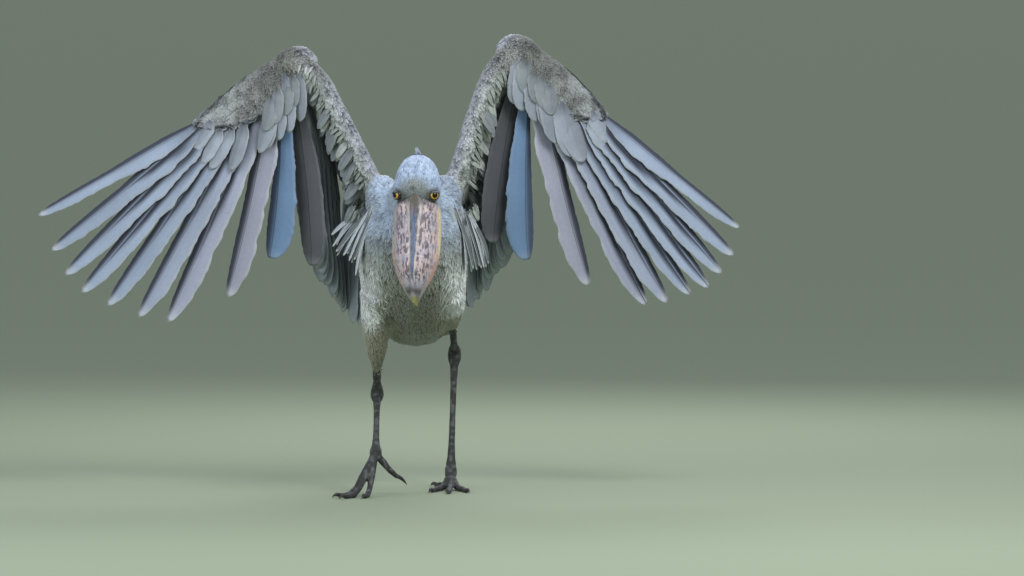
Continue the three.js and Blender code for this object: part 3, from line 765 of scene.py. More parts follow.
def lay(root, normal, flow, length, lift, steps=4, start=0.3):
    """Centre lines that follow the surface from each root, rising to lift at the tip."""
    n = len(root)
    line = np.empty((n, steps + 1, 3))
    normals = np.empty((n, steps + 1, 3))
    flow = unit(flow - normal * (flow * normal).sum(1, keepdims=True))
    line[:, 0] = root + normal * start
    normals[:, 0] = normal
    here = root
    step = (length / steps)[:, None]
    for k in range(1, steps + 1):
        ahead = here + flow * step
        found, fresh, _ = surface.snap(ahead)
        miss = np.linalg.norm(found - ahead, axis=1, keepdims=True)
        loose = np.clip(smoothstep(miss, step * 0.35, step * 0.9), 0, 1)
        here = mix(found, ahead, loose)
        fresh = unit(mix(fresh, normals[:, k - 1], loose))
        rise = mix(start, lift, (k / steps) ** 1.4)
        line[:, k] = here + fresh * np.asarray(rise).reshape(-1, 1)
        normals[:, k] = fresh
        flow = unit(flow - fresh * (flow * fresh).sum(1, keepdims=True) * 0.9)
    way = unit(np.gradient(line, axis=1))
    side = unit(np.cross(way, normals))
    normals = unit(np.cross(side, way))
    return line, side, normals


def jittered(flow, normal, spread):
    """Turns each flow a little about its normal."""
    turn = rng.normal(0, spread, len(flow))[:, None]
    return flow * np.cos(turn) + np.cross(normal, flow) * np.sin(turn)


# Materials.


def new_material(name, **inputs):
    """A material with one shader. inputs are the shader's values, with _ for the spaces in their names."""
    material = bpy.data.materials.new(name)
    material.use_nodes = True
    shader = material.node_tree.nodes["Principled BSDF"]
    connect(material, shader, {socket.replace("_", " "): value for socket, value in inputs.items()})
    return material, shader


def connect(material, node, inputs):
    """Sets a node's inputs, each to a value or to another node's output."""
    for socket, value in inputs.items():
        if isinstance(value, bpy.types.NodeSocket):
            material.node_tree.links.new(value, node.inputs[socket])
        else:
            node.inputs[socket].default_value = value


def add_node(material, kind, inputs, **settings):
    node = material.node_tree.nodes.new("ShaderNode" + kind)
    for name, value in settings.items():
        setattr(node, name, value)
    connect(material, node, inputs)
    return node


def add_math(material, operation, *values):
    return add_node(material, "Math", dict(enumerate(values)), operation=operation).outputs["Value"]


def find_node(material, kind):
    return next(node for node in material.node_tree.nodes if node.type == kind)


def feather_material(name, barbs, roughness=0.72, sheen=0.15, gloss=0.25):
    """The tint with a fine grain over it. barbs is the grain's scale."""
    material, shader = new_material(name, Roughness=roughness, Sheen_Weight=sheen, Specular_IOR_Level=gloss)
    tint = add_node(material, "Attribute", {}, attribute_name="tint")
    place = add_node(material, "TexCoord", {})
    fine = add_node(material, "TexNoise", {"Scale": barbs, "Detail": 4, "Vector": place.outputs["Object"]})
    limits = {"From Min": 0.3, "From Max": 0.7, "To Min": 0.8, "To Max": 1.12}
    grain = add_node(material, "MapRange", {**limits, "Value": fine.outputs["Fac"]})
    scaled = {"Vector": tint.outputs["Color"], "Scale": grain.outputs["Result"]}
    colour = add_node(material, "VectorMath", scaled, operation="SCALE")
    bump = add_node(material, "Bump", {"Strength": 0.25, "Distance": 0.0006, "Height": fine.outputs["Fac"]})
    connect(material, shader, {"Base Color": colour.outputs["Vector"], "Normal": bump.outputs["Normal"]})
    return material


small_feather = feather_material("small_feather", 420)
skin_material = feather_material("skin_coat", 300, 0.85, 0.0)
skin.data.materials.append(skin_material)
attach(skin, "root")
FLESH = ["head", "neck", "trunk", "tail", "leg_left_thigh", "leg_right_thigh"]
FLESH += [f"wing_{side}_{part}" for side in WINGS for part in ("upper_arm", "forearm", "hand")]
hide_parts(*FLESH)



def put_sizes(sizes, here, *values):
    for row, value in zip(sizes, values):
        row[here] = np.broadcast_to(value, row.shape)[here]


def small_sizes(p, spot):
    """Length, half width, spacing, lift at the tip and jitter of the small feathers at each place."""
    region, along, across, _, under = spot
    head, neck, trunk, thigh, arm, hand = (region == number for number in range(len(REGIONS)))
    sizes = np.empty((5, len(p)))
    face = smoothstep(np.linalg.norm(p - in_head(0, -20), axis=1), 26, 105)
    put_sizes(sizes, head, 5.5 + 9 * face, 1.5 + 1.8 * face, 2.4 + 1.7 * face, 0.6 + 0.9 * face, 0.12)
    put_sizes(sizes, neck, 15, 2.6, 3.9, 2.0, 0.12)
    low = smoothstep(-p[:, 2], -480, -380)
    front = smoothstep(-p[:, 1], -40, 90)
    flank = smoothstep(np.abs(p[:, 0] + 3), 70, 104)
    flank = flank * smoothstep(-p[:, 2], -500, -420) * smoothstep(-p[:, 1], -140, -60)
    behind = upper_side(p, -10, 70)
    aft = smoothstep(p[:, 1], 190, 260)
    upper = smoothstep(p[:, 2], 470, 560) * (1 - behind)
    under_belly = smoothstep(-p[:, 2], -330, -300) * (1 - aft)
    rise = 3.6 - 1.8 * upper + 0.6 * front * (1 - behind) - 0.6 * low * (1 - aft)
    put_sizes(
        sizes,
        trunk,
        32 - 14 * upper + 2 * low + 4 * flank + 24 * behind + 26 * aft,
        (4.6 - 1.5 * upper - 2.1 * low - 1.6 * flank + 8.0 * behind + 6.0 * aft).clip(1.7),
        (6.2 - 1.7 * upper - 1.5 * low - 0.9 * flank + 7.4 * behind + 4.6 * aft).clip(4.0),
        rise + 2.2 * flank + 3.0 * under_belly,
        0.14 + 0.12 * front + 0.16 * low + 0.3 * flank - 0.06 * behind,
    )
    thin = smoothstep(along, 0.3, 0.7)
    put_sizes(sizes, thigh, 24 - 6 * thin, 3.0 - 0.8 * thin, 4.6 - 1.2 * thin, 5.5 - 1.5 * thin, 0.24)
    back = np.clip(across, 0, 1)
    top = smoothstep(-under, 0, 14)
    put_sizes(
        sizes,
        arm,
        9 + 12 * smoothstep(back, 0.02, 0.5) + 28 * top * back,
        2.6 + 0.6 * back * (1 - top) + 9.5 * top * back,
        3.9 + 0.6 * back + 7.6 * top * back,
        2.2 + 3.0 * back * (1 - top),
        0.42 - 0.3 * top,
    )
    drop = np.clip(across / 60, 0, 1)
    above = smoothstep(-under, -6, 6)
    end = smoothstep(along, 0.85, 1.0)
    put_sizes(
        sizes,
        hand,
        11 + 10 * drop + 16 * above - 6 * end,
        3.2 + 1.6 * drop + 5.0 * above,
        3.9 + 0.6 * drop + 3.6 * above,
        (1.8 + 1.2 * drop * (1 - above)) * (1 - 0.6 * end),
        0.28 - 0.14 * above,
    )
    return sizes


# How many feathers are tried before they are thinned out.
TRIED = 260000
# The tail fan behind this y and the skin this near to an eye stay bare.
TAIL_FAN_Y = 322
EYE_BARE = 13.0
FRINGES = {"head": 0.3, "neck": 0.35, "trunk": 0.36, "thigh": 0.2, "arm": 0.45, "hand": 0.22}
LOOSE_FRINGE = 0.46


def bare(root, region):
    """True on the tail fan, round the eyes and at the base of the bill."""
    ahead = (root - BILL_BASE) @ AHEAD
    beside = np.abs((root - BILL_BASE) @ BESIDE)
    found = (region == TRUNK) & (root[:, 1] > TAIL_FAN_Y)
    found |= (region == HEAD) & (ahead > 4 + 0.24 * beside) & (beside < 50)
    for eye in EYES.values():
        found |= np.linalg.norm(root - eye, axis=1) <= EYE_BARE
    return found


def shaggy_places(root, spot):
    """True where the plumage is loose: on the breast, the belly and the wings' undersides."""
    region, _, across, _, under = spot
    shaggy = (region == TRUNK) & (root[:, 2] < 500) & (root[:, 1] < 190)
    return shaggy | ((region == ARM) & (under > 0) & (across > 0.08)) | ((region == HAND) & (under > 0))


def grow_small_feathers():
    def density(middle):
        return 1 / small_sizes(middle, locate(middle))[2] ** 2

    root, normal, uv = surface.scatter(TRIED, density)
    spot = locate(root)
    length, half, spacing, lift, jitter = small_sizes(root, spot)
    keep = thin_out(root, spacing)
    keep = keep[~bare(root[keep], spot[0][keep])]
    root, normal, uv, *spot = (x[keep] for x in (root, normal, uv, *spot))
    length, half, lift, jitter = (x[keep] for x in (length, half, lift, jitter))
    flow = jittered(unit(spot[3]), normal, jitter)
    size = rng.uniform(0.82, 1.18, len(root))
    line, side, normals = lay(root, normal, flow, length * size, lift * rng.uniform(0.7, 1.4, len(root)))
    # A vane whose tip ends up off the skin would stick out, so it is left out.
    touch, _, _ = surface.snap(line[:, -1])
    lies = np.linalg.norm(touch - line[:, -1], axis=1) < lift * 1.4 + 4.5 + 1.5 * (spot[0] == HAND)
    root, uv, half, size, line, side, normals, *spot = (
        x[lies] for x in (root, uv, half, size, line, side, normals, *spot)
    )
    t = np.linspace(0, 1, line.shape[1])[None]
    shaggy = shaggy_places(root, spot)
    colour = ground_colour(root, spot) * rng.uniform(0.84, 1.14, (len(root), 1))
    for number, name in enumerate(REGIONS):
        for loose in (False, True):
            pick = (spot[0] == number) & (shaggy == loose)
            if not pick.any():
                continue
            outline = vane_outline(t, 0.3, 1.6) if loose else vane_outline(t, 0.5)
            coat = Coat()
            coat.add(
                line[pick],
                side[pick],
                normals[pick],
                half[pick][:, None] * size[pick][:, None] * outline,
                colour[pick],
                uv[pick],
                fringe=LOOSE_FRINGE if loose and name != "hand" else FRINGES[name],
                shaft=0.1,
                columns=FLUFF_COLUMNS if loose or name == "thigh" else COLUMNS,
            )
            coat.build(f"coat_{name}_{'loose' if loose else 'close'}", small_feather)


grow_small_feathers()


# Flight feathers: long vanes with a raised shaft, a ragged rim and their own strips on the map.
FLIGHT_COLUMNS = np.array([-1, -0.8, -0.5, -0.2, -0.06, 0, 0.06, 0.2, 0.5, 0.8, 1.0])
VANE_THICKNESS = 1.2
WAVE_SPACING = 17


def row_shares(rows):
    return np.linspace(0, 1, rows) ** 0.94


def curve(root, tip, bow, t):
    """A line from root to tip, pulled aside by bow."""
    t = t[:, None]
    return (1 - t) ** 2 * root + 2 * t * (1 - t) * ((root + tip) / 2 + bow) + t**2 * tip


def flight_vane(
    root,
    tip,
    facing,
    width,
    bow,
    hand,
    rows=26,
    notch=0.0,
    shingle=0.22,
    inner=0.5,
    seed=0,
    round_from=0.84,
    pointed=1.0,
    wave=0.0,
    narrow=0.28,
):
    """Front and back of one vane. Its wide side, towards the trailing edge, has a share inner of the width.

    hand is 1 on a left wing and -1 on a right one. wave is how far the rim waves, as a share of the width.
    narrow is the share of the length over which the vane widens from its root.
    """
    t = row_shares(rows)
    line = curve(root, tip, bow, t)
    along = unit(np.gradient(line, axis=0))
    normal = unit(facing - along * (along @ facing)[:, None])
    across = np.cross(along, normal) * hand
    across, normal = (
        across * math.cos(shingle) + normal * math.sin(shingle),
        normal * math.cos(shingle) - across * math.sin(shingle),
    )
    end = np.sqrt(np.clip(1 - (np.clip(t - round_from, 0, 1) / (1.004 - round_from)) ** 2, 0, 1)) ** pointed
    base = 0.3 + 0.7 * smoothstep(t, 0, narrow)
    slim = 1 - notch * smoothstep(t, 0.42, 0.58)
    half = np.maximum(width * 0.5 * base * end * slim, 0.6)
    local = np.random.default_rng(seed)
    u = FLIGHT_COLUMNS[None, :]
    rim = np.abs(u) ** 4
    knots = max(4, int(np.linalg.norm(tip - root) / WAVE_SPACING))
    swing = local.uniform(-1, 1, knots) * np.where(np.arange(knots) % 2, 1.0, 0.35)
    waves = smooth_line(np.c_[swing, np.zeros((knots, 2))], t)[:, :1] * wave * (u > 0)
    ragged = 1 + rim * (waves + local.uniform(-0.05, 0.03, (rows, len(FLIGHT_COLUMNS))))
    lead = np.where(u < 0, 2 * (1 - inner), 2 * inner)
    offset = u * half[:, None] * ragged * lead
    cup = -(np.abs(u) ** 2) * half[:, None] * 0.16
    shaft = hump(u, 0, 0.05) * mix(1.6, 0.4, t)[:, None]
    flat = line[:, None] + across[:, None] * offset[..., None]
    front = flat + normal[:, None] * (cup + shaft + VANE_THICKNESS / 2)[..., None]
    rear = flat + normal[:, None] * (cup - shaft - VANE_THICKNESS / 2)[..., None]
    return front, rear, t, u, hand


class Flights:
    """Collects long vanes. Each has two strips of its own on the map, for the front and the back."""

    def __init__(self):
        self.verts, self.faces, self.tints, self.strips, self.vane = [], [], [], [], []
        self.count = 0
        self.strip = 0

    def add(
        self,
        vane,
        tint,
        edge_tint,
        fringe=0.9,
        rear_tint=None,
        rim=0.25,
        shaft=0.55,
        base_dark=0.25,
        band=None,
    ):
        """edge_tint colours the narrow side and the painted shadow, rim pales the rim and tip, and shaft
        scales the shaft's tint. The pale rim and tip are partly the feather's own pale edge and partly a
        painted highlight.

        band is how far across the wide side the next feather's edge lies, row by row. A painted shadow of
        that edge, in edge_tint, darkens the wide side up to there and fades out just beyond it.
        """
        front, rear, t, u, hand = vane
        local = np.random.default_rng(self.strip + 900)
        bands = np.interp(t, np.linspace(0, 1, 9), local.uniform(0.93, 1.07, 9))[:, None, None]
        rows, cols = front.shape[:2]
        for side, places in ((0, front), (1, rear)):
            base = tint if side == 0 or rear_tint is None else rear_tint
            tt, uu = t[:, None, None], u[:, :, None]
            c = np.broadcast_to(base, (rows, cols, 3)) * (1 - base_dark * (1 - smoothstep(tt, 0.0, 0.35)))
            c = c * bands * (0.88 + 0.12 * smoothstep(np.abs(uu), 0.0, 0.5))
            c = mix(c, edge_tint, smoothstep(-uu, 0.03, 0.3) * fringe)
            # A pale rim and tip, partly the feather's own pale edge and partly a painted highlight.
            pale = np.maximum(smoothstep(uu, 0.78, 1.0), smoothstep(tt, 0.93, 1.0)) * rim
            c = mix(c, C_PALE, pale)
            # The painted shadow of the next feather's edge.
            if band is not None:
                shadow = 1 - smoothstep(uu - band[:, None, None], 0.1, 0.34)
                c = mix(c, edge_tint, shadow * (uu > 0) * 0.95)
            c = c * mix(1.0, shaft, np.abs(uu) < 0.03)
            grid = np.arange(rows * cols).reshape(rows, cols) + self.count
            quads = np.stack([grid[:-1, :-1], grid[:-1, 1:], grid[1:, 1:], grid[1:, :-1]], -1).reshape(-1, 4)
            self.faces.append(quads if (side == 0) == (hand > 0) else quads[:, ::-1])
            self.verts.append(places.reshape(-1, 3))
            self.tints.append(np.broadcast_to(c, (rows, cols, 3)).reshape(-1, 3))
            place = np.stack(np.broadcast_arrays((u + 1) / 2, t[:, None]), -1).reshape(-1, 2)
            self.vane.append(place)
            self.strips.append(np.full(rows * cols, self.strip))
            self.strip += 1
            self.count += rows * cols
        # The rims join the two faces.
        first = self.count - 2 * rows * cols
        a = np.arange(rows * cols).reshape(rows, cols) + first
        b = a + rows * cols
        borders = [(np.s_[:, 0], True), (np.s_[:, -1], False), (np.s_[0], False), (np.s_[-1], True)]
        for border, forward in borders:
            p, q = a[border], b[border]
            edge = np.stack([p[:-1], p[1:], q[1:], q[:-1]], -1)
            self.faces.append(edge if forward == (hand > 0) else edge[:, ::-1])

    def build(self, name, material, slot):
        obj = make_mesh(name, np.vstack(self.verts), np.vstack(self.faces))
        set_tint(obj, np.vstack(self.tints))
        vane = np.vstack(self.vane)
        strip = np.concatenate(self.strips)
        per_row = math.ceil(math.sqrt(self.strip * 6.0))
        rows = math.ceil(self.strip / per_row)
        corner = np.stack([strip % per_row / per_row, strip // per_row / rows], -1)
        size = arr(0.9 / per_row, 0.96 / rows)
        set_uv(obj, "OFBake", corner + arr(0.05 / per_row, 0.02 / rows) + vane * size)
        set_uv(obj, "Vane", vane)
        obj.data.materials.append(material)
        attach(obj, "root")


def flight_material():
    """The feather look with slanting barbs, from each vane's own map."""
    material = feather_material("flight_feather", 160, 0.6, 0.1)
    connect(material, find_node(material, "MAP_RANGE"), {"To Min": 0.95, "To Max": 1.04})
    place = add_node(material, "UVMap", {}, uv_map="Vane")
    split = add_node(material, "SeparateXYZ", {"Vector": place.outputs["UV"]})
    middle = add_math(material, "SUBTRACT", split.outputs["X"], 0.5)
    away = add_math(material, "ABSOLUTE", middle)
    slant = add_math(material, "MULTIPLY", away, -0.09)
    lie = add_math(material, "ADD", slant, split.outputs["Y"])
    wave = add_math(material, "MULTIPLY", lie, 1500)
    barb = add_math(material, "SINE", wave)
    connect(material, find_node(material, "BUMP"), {"Strength": 0.3, "Distance": 0.0005, "Height": barb})
    return material


flight_feather = flight_material()
C_PRIMARY = srgb(147, 160, 182)
C_PRIMARY_INNER = srgb(154, 156, 174)
# The primaries' dark narrow vane, also the colour of the painted shadow of each next primary's edge.
C_PRIMARY_EDGE = srgb(34, 38, 52)
C_PRIMARY_TOP = srgb(78, 86, 102)
C_SECONDARY = srgb(136, 146, 156)
C_SECONDARY_EDGE = srgb(112, 120, 130)
C_BLUE = srgb(106, 134, 168)
C_BLUE_EDGE = srgb(60, 70, 92)
C_BROWN = srgb(82, 84, 90)
C_COVERT = srgb(148, 156, 170)
C_COVERT_EDGE = srgb(112, 118, 126)
C_MEDIAN = srgb(138, 145, 152)
C_SCALLOP = srgb(186, 192, 190)
C_TAIL = srgb(88, 96, 108)


def primary_line(wing, i):
    """Root, tip and bow of primary i, counted from the innermost."""
    m, share = wing["mirror"], i / (len(wing["fan"]) - 1)
    fall, reach = wing["fan"][i]
    angle = math.radians(fall)
    root = mix(wing["wrist"], wing["hand_tip"], mix(0.06, 0.97, share)) + arr(0, 3 + 12 * (1 - share), -6)
    tip = wing["wrist"] + arr(m * math.cos(angle) * reach, mix(92, 52, share), -math.sin(angle) * reach)
    bow = arr(m * mix(-18, -2, share), mix(6, -22, share), mix(-22, -4, share))
    return root, tip, bow


def next_edge(wing, i, width):
    """How far across primary i the next one's edge lies, row by row."""
    t = row_shares(PRIMARY_ROWS)
    root, tip, bow = primary_line(wing, i)
    far_root, far_tip, far_bow = primary_line(wing, i + 1)
    away = (curve(far_root, far_tip, far_bow, t) - curve(root, tip, bow, t)) * arr(1, 0, 1)
    gap = np.linalg.norm(away, axis=1) * 0.86
    full = width * PRIMARY_INNER * (0.3 + 0.7 * smoothstep(t, 0, 0.28))
    return (full - gap) / full


PRIMARY_ROWS = 64
PRIMARY_INNER = 0.66
# The two innermost primaries have their own colour, edge colour, width and outline.
BROWN_LOOK = dict(inner=0.56, wave=0.04, round_from=0.78, pointed=0.9, narrow=0.6)
BLUE_LOOK = dict(inner=0.7, wave=0.06, round_from=0.8, pointed=0.9, narrow=0.8)
INNERMOST = [(C_BROWN, C_BROWN * 0.7, 62, BROWN_LOOK), (C_BLUE, C_BLUE_EDGE, 68, BLUE_LOOK)]


def wing_flights(side, wing):
    m = wing["mirror"]
    flights = Flights()
    last = len(wing["fan"]) - 1
    for i in range(last + 1):
        share = i / last
        root, tip, bow = primary_line(wing, i)
        width = mix(60, 46, share) - 8 * (i == last)
        tint = mix(C_PRIMARY_INNER, C_PRIMARY, np.clip((i - 2) / 3, 0, 1)) * rng.uniform(0.92, 1.06)
        edge = C_PRIMARY_EDGE
        look = dict(inner=PRIMARY_INNER, wave=0.1, round_from=0.7)
        # All primaries but the first two and the last get the painted shadow of the next one's edge.
        band = next_edge(wing, i, width) if 1 < i < last else None
        if i < len(INNERMOST):
            tint, edge, width, look = INNERMOST[i]
        vane = flight_vane(
            root,
            tip,
            arr(m * 0.2, -1, -0.12),
            width,
            bow,
            m,
            rows=PRIMARY_ROWS,
            notch=mix(0.02, 0.2, share),
            seed=i + 50,
            **look,
        )
        flights.add(
            vane,
            tint,
            edge,
            fringe=0.92,
            rear_tint=C_PRIMARY_TOP,
            rim=0.4 if i > 1 else 0.12,
            shaft=0.4,
            base_dark=0.45,
            band=band,
        )
    flights.build(f"flights_{side}_primaries", flight_feather, "flight_feathers")


def wing_secondaries(side, wing):
    m = wing["mirror"]
    flights = Flights()
    outer, inner = wing["tertial_tips"]
    for t in np.arange(13) / 12:
        root = mix(wing["wrist"], wing["elbow"], mix(0.1, 0.98, t)) + arr(m * 10, 6, -10)
        tip = mix(wing["secondary_tip"], outer, t) + rng.normal(0, 4, 3)
        facing = arr(m * mix(0.32, 0.8, t), -mix(0.95, 0.6, t), 0)
        look = dict(rows=40, seed=round(t * 12) + 80, wave=0.05, round_from=0.8)
        vane = flight_vane(root, tip, facing, 60, arr(m * 16, 10, 0), m, **look)
        tint = C_SECONDARY * rng.uniform(0.88, 1.14)
        flights.add(vane, tint, C_SECONDARY_EDGE, rear_tint=C_PRIMARY_TOP, rim=0.16, shaft=1.5)
    for t in np.arange(6) / 5:
        root = arr(m * mix(146, 104, t), mix(205, 150, t), mix(650, 580, t))
        tip = mix(outer, inner, t) + rng.normal(0, 4, 3)
        look = dict(rows=40, seed=round(t * 5) + 110, wave=0.05)
        vane = flight_vane(root, tip, arr(m * 0.82, -0.57, 0), 58, arr(m * 14, 8, 0), m, **look)
        flights.add(vane, C_SECONDARY * 1.1, C_SECONDARY_EDGE, rear_tint=C_UPPER, rim=0.2, shaft=1.4)
    flights.build(f"flights_{side}_secondaries", flight_feather, "arm_feathers")


def tail_flights():
    flights = Flights()
    droop = math.radians(15)
    base = arr(0, 268, 352)
    for i in range(10):
        turn = math.radians(mix(-26, 26, i / 9)) / 2
        along = arr(math.sin(turn), math.cos(turn) * math.cos(droop), -math.cos(turn) * math.sin(droop))
        centred = 1 - abs(i / 9 - 0.5) * 2
        root = base + along * 30 + arr(0, 0, centred * 7)
        tip = base + along * (295 + 10 * centred) + arr(0, 0, centred * 6)
        look = dict(seed=i + 140, shingle=0.1, wave=0.03)
        vane = flight_vane(root, tip, arr(0, 0, 1), 50, arr(0, 0, 8), 1 if i > 4 else -1, **look)
        flights.add(vane, C_TAIL * rng.uniform(0.84, 1.12), C_TAIL * 0.6, fringe=0.8, rim=0.4, shaft=0.4)
    flights.build("flights_tail", flight_feather, "tail_feathers")


tail_flights()
for wing_side, wing_data in WINGS.items():
    wing_flights(wing_side, wing_data)
    wing_secondaries(wing_side, wing_data)

# The great coverts' lower edge and the pale arm's rear edge, as (x, z) places seen from the front.
COVERT_EDGES = {
    "left": [(216, 806), (250, 776), (291, 750), (322, 706), (365, 680), (411, 698), (436, 741)],
    "right": [(-222, 800), (-262, 752), (-309, 716), (-342, 696)]
    + [(-391, 664), (-433, 661), (-469, 686), (-496, 733)],
}
ARM_EDGES = {
    "left": [(204, 856), (182, 800), (168, 750), (154, 690), (150, 640), (146, 590), (136, 548)],
    "right": [(-252, 872), (-222, 800), (-196, 740), (-172, 690), (-150, 640), (-144, 590), (-140, 545)],
}


def skin_hit(x, z, way, fallback):
    """The skin's y at a place seen from the front (way 1) or from behind (way -1)."""
    hit = surface.tree.ray_cast(Vector((x, -500 * way, z)), Vector((0, way, 0)))
    return hit[0].y if hit[0] is not None else fallback


def edge_point(points, share):
    x, _, z = smooth_line([(a, 0, b) for a, b in points], share)
    return x, z


# How far a covert's root may slide towards its tip to lie on the skin, as shares of its length.
FRONT_SLIDES = (0, 0.12, 0.24)
BACK_SLIDES = (0, 0.12, 0.24, 0.36, 0.48, 0.6)
# Rows of coverts on the hand: count, mm above the lower edge, length, half width, colour and rim, the
# strength of a pale rim that is partly a painted highlight.
COVERT_ROWS = {
    "left": [(10, 0, 128, 25, C_COVERT, 0.4), (7, 46, 74, 19, C_MEDIAN, 0.25)],
    "right": [(13, 0, 128, 18, C_COVERT, 0.4), (7, 46, 74, 15, C_MEDIAN, 0.25)],
}
# The fall of the outermost covert in degrees.
COVERT_FALL = {"left": 58, "right": 50}
# How far along the edge each row reaches.
COVERT_REACH = (1.0, 0.42)


def slide_onto_skin(root, tip, face):
    """The root, or the first place from it towards the tip that lies on the skin, or None."""
    for share in FRONT_SLIDES if face > 0 else BACK_SLIDES:
        place = mix(root, tip, share)
        if skin_hit(place[0], place[2], face, None) is not None:
            return place
    return None


def hand_coverts(side, wing):
    m = wing["mirror"]
    flights = Flights()
    seed = 200
    for row, (count, above, length, half, tint, rim) in enumerate(COVERT_ROWS[side]):
        for i in range(count):
            k = np.clip((i + rng.uniform(-0.2, 0.2)) / (count - 1), 0, 0.93) * COVERT_REACH[row]
            outer = smoothstep(k, 0.5, 1.0)
            size = (1.0 - 0.42 * outer - 0.2 * smoothstep(-k, -0.2, 0.0)) * rng.uniform(0.9, 1.1)
            angle = math.radians(mix(98, COVERT_FALL[side], k) + rng.normal(0, 4))
            way = arr(m * math.cos(angle), 0, -math.sin(angle))
            x, z = edge_point(COVERT_EDGES[side], k)
            tip = arr(x, 0, z) - way * above * (1.0 - 0.5 * outer)
            root = tip - way * length * size
            bone_y = mix(-8, 14, k)
            front_y = bone_y + 8 - 16 * row * (1.0 - 0.6 * smoothstep(k, 0.2, 1.0))
            back_y = bone_y + 38 + 26 * math.sin(math.pi * k)
            for face in (1, -1):
                place = slide_onto_skin(root, tip, face)
                if place is None:
                    continue
                root_y = skin_hit(place[0], place[2], face, 0) - face * 1.0
                tip_y = front_y if face > 0 else back_y
                tip_hit = skin_hit(tip[0], tip[2], face, tip_y) - face * 3.5
                tip_y = min(tip_y, tip_hit) if face > 0 else max(tip_y, tip_hit)
                vane = flight_vane(
                    arr(place[0], root_y, place[2]),
                    arr(tip[0], tip_y, tip[2]),
                    arr(m * 0.12, -1, 0.05) * face,
                    half * 2 * mix(1, size, 0.6),
                    arr(0, -4 * face, 0),
                    m * face,
                    rows=20,
                    shingle=0.16,
                    inner=0.56,
                    seed=seed,
                    round_from=0.55,
                    wave=0.05,
                )
                shade = rng.normal(1, 0.1)
                if face > 0:
                    look = dict(rim=rim, shaft=0.86, base_dark=0.6)
                    flights.add(vane, tint * shade, C_COVERT_EDGE * shade, fringe=0.5, **look)
                else:
                    look = dict(rim=0.2, shaft=0.7, base_dark=0.3)
                    flights.add(vane, C_UPPER * shade, C_PRIMARY_TOP, fringe=0.5, **look)
                seed += 1
    flights.build(f"coverts_{side}_hand", flight_feather, "flight_feathers")


# Rows on the arm: count, mm beyond the edge, length, half width, colour, mm behind, and where the row starts.
SCALLOP_ROWS = [
    (15, 10, 50, 10.0, C_MEDIAN, 6, 0.3),
    (22, 2, 36, 7.5, C_SCALLOP, 2, 0.25),
    (60, -5, 26, 3.4, C_SCALLOP * 0.9, -2, 0.0),
    (70, -16, 22, 3.0, C_SCALLOP * 0.9, -4, 0.0),
]


def arm_scallops(side, wing):
    """Pale rounded feathers along the arm's rear edge, and duller ones over the secondaries' roots."""
    m = wing["mirror"]
    flights = Flights()
    seed = 500
    for count, beyond, length, half, tint, behind, first in SCALLOP_ROWS:
        large = half > 5
        for i in range(count):
            k = mix(first, 1.0, np.clip((i + rng.uniform(-0.35, 0.35)) / (count - 1), 0, 1))
            x, z = edge_point(ARM_EDGES[side], k)
            angle = math.radians(mix(72, 58, k) + rng.normal(0, 7 if large else 13))
            way = arr(m * math.cos(angle), 0.12, -math.sin(angle))
            size = rng.uniform(0.8, 1.2)
            tip = arr(x, 0, z) + arr(m, 0, 0.05) * (beyond + rng.normal(0, 3))
            root = tip - way * length * size
            root_y = skin_hit(root[0], root[2], 1, 30.0)
            tip_y = skin_hit(tip[0], tip[2], 1, root_y + 34) - 4
            start = arr(root[0], min(root_y, 160) + behind * 0.5 - 0.5, root[2])
            end = arr(tip[0], np.clip(tip_y, root_y - 10, root_y + 26) + behind, tip[2])
            facing = arr(m * 0.45, -0.9, 0.1)
            look = dict(rows=14 if large else 9, shingle=0.1, seed=seed, round_from=0.5, wave=0.04)
            vane = flight_vane(start, end, facing, half * 2 * size, arr(m * 3, -4, 0), m, **look)
            look = dict(fringe=0.4, rim=0.35, shaft=0.85, base_dark=0.45)
            flights.add(vane, tint * rng.normal(1, 0.09), tint * 0.82, **look)
            seed += 1
    flights.build(f"coverts_{side}_arm", flight_feather, "arm_feathers")


# Long loose plumes hang from under each shoulder: root and tip as (x, z) for the first and the last one.
PLUMES = {
    "left": [((76, 596), (96, 452)), ((118, 560), (150, 452))],
    "right": [((-84, 590), (-108, 448)), ((-112, 572), (-186, 500))],
}


PLUME_COUNT = 20
C_PLUME = srgb(172, 182, 190)
C_PLUME_DARK = srgb(98, 106, 112)


def shoulder_plumes(side, wing):
    m = wing["mirror"]
    flights = Flights()
    (root_a, tip_a), (root_b, tip_b) = np.array(PLUMES[side])
    for i in range(PLUME_COUNT):
        k = i / (PLUME_COUNT - 1)
        rx, rz = mix(root_a, root_b, k) + rng.normal(0, 4, 2)
        tx, tz = mix(tip_a, tip_b, k) + rng.normal(0, 9, 2)
        root = arr(rx, min(skin_hit(rx, rz, 1, 20.0), 60) - 1, rz)
        tip = arr(tx, min(skin_hit(tx, tz, 1, root[1] + 16) - 6, root[1] + 30), tz)
        width = rng.uniform(8, 13)
        bow = arr(m * rng.uniform(4, 20), -6, 0)
        look = dict(rows=28, seed=600 + i, wave=0.1, round_from=0.6)
        vane = flight_vane(root, tip, arr(m * 0.6, -0.8, 0), width, bow, m, **look)
        tint = C_PLUME_DARK if rng.random() < 0.45 else C_PLUME
        flights.add(vane, tint, tint * 0.8, fringe=0.5, rim=0.9, shaft=1.6, base_dark=0.1)
    flights.build(f"plumes_{side}", flight_feather, "arm_feathers")


for wing_side, wing_data in WINGS.items():
    hand_coverts(wing_side, wing_data)
    arm_scallops(wing_side, wing_data)
    shoulder_plumes(wing_side, wing_data)


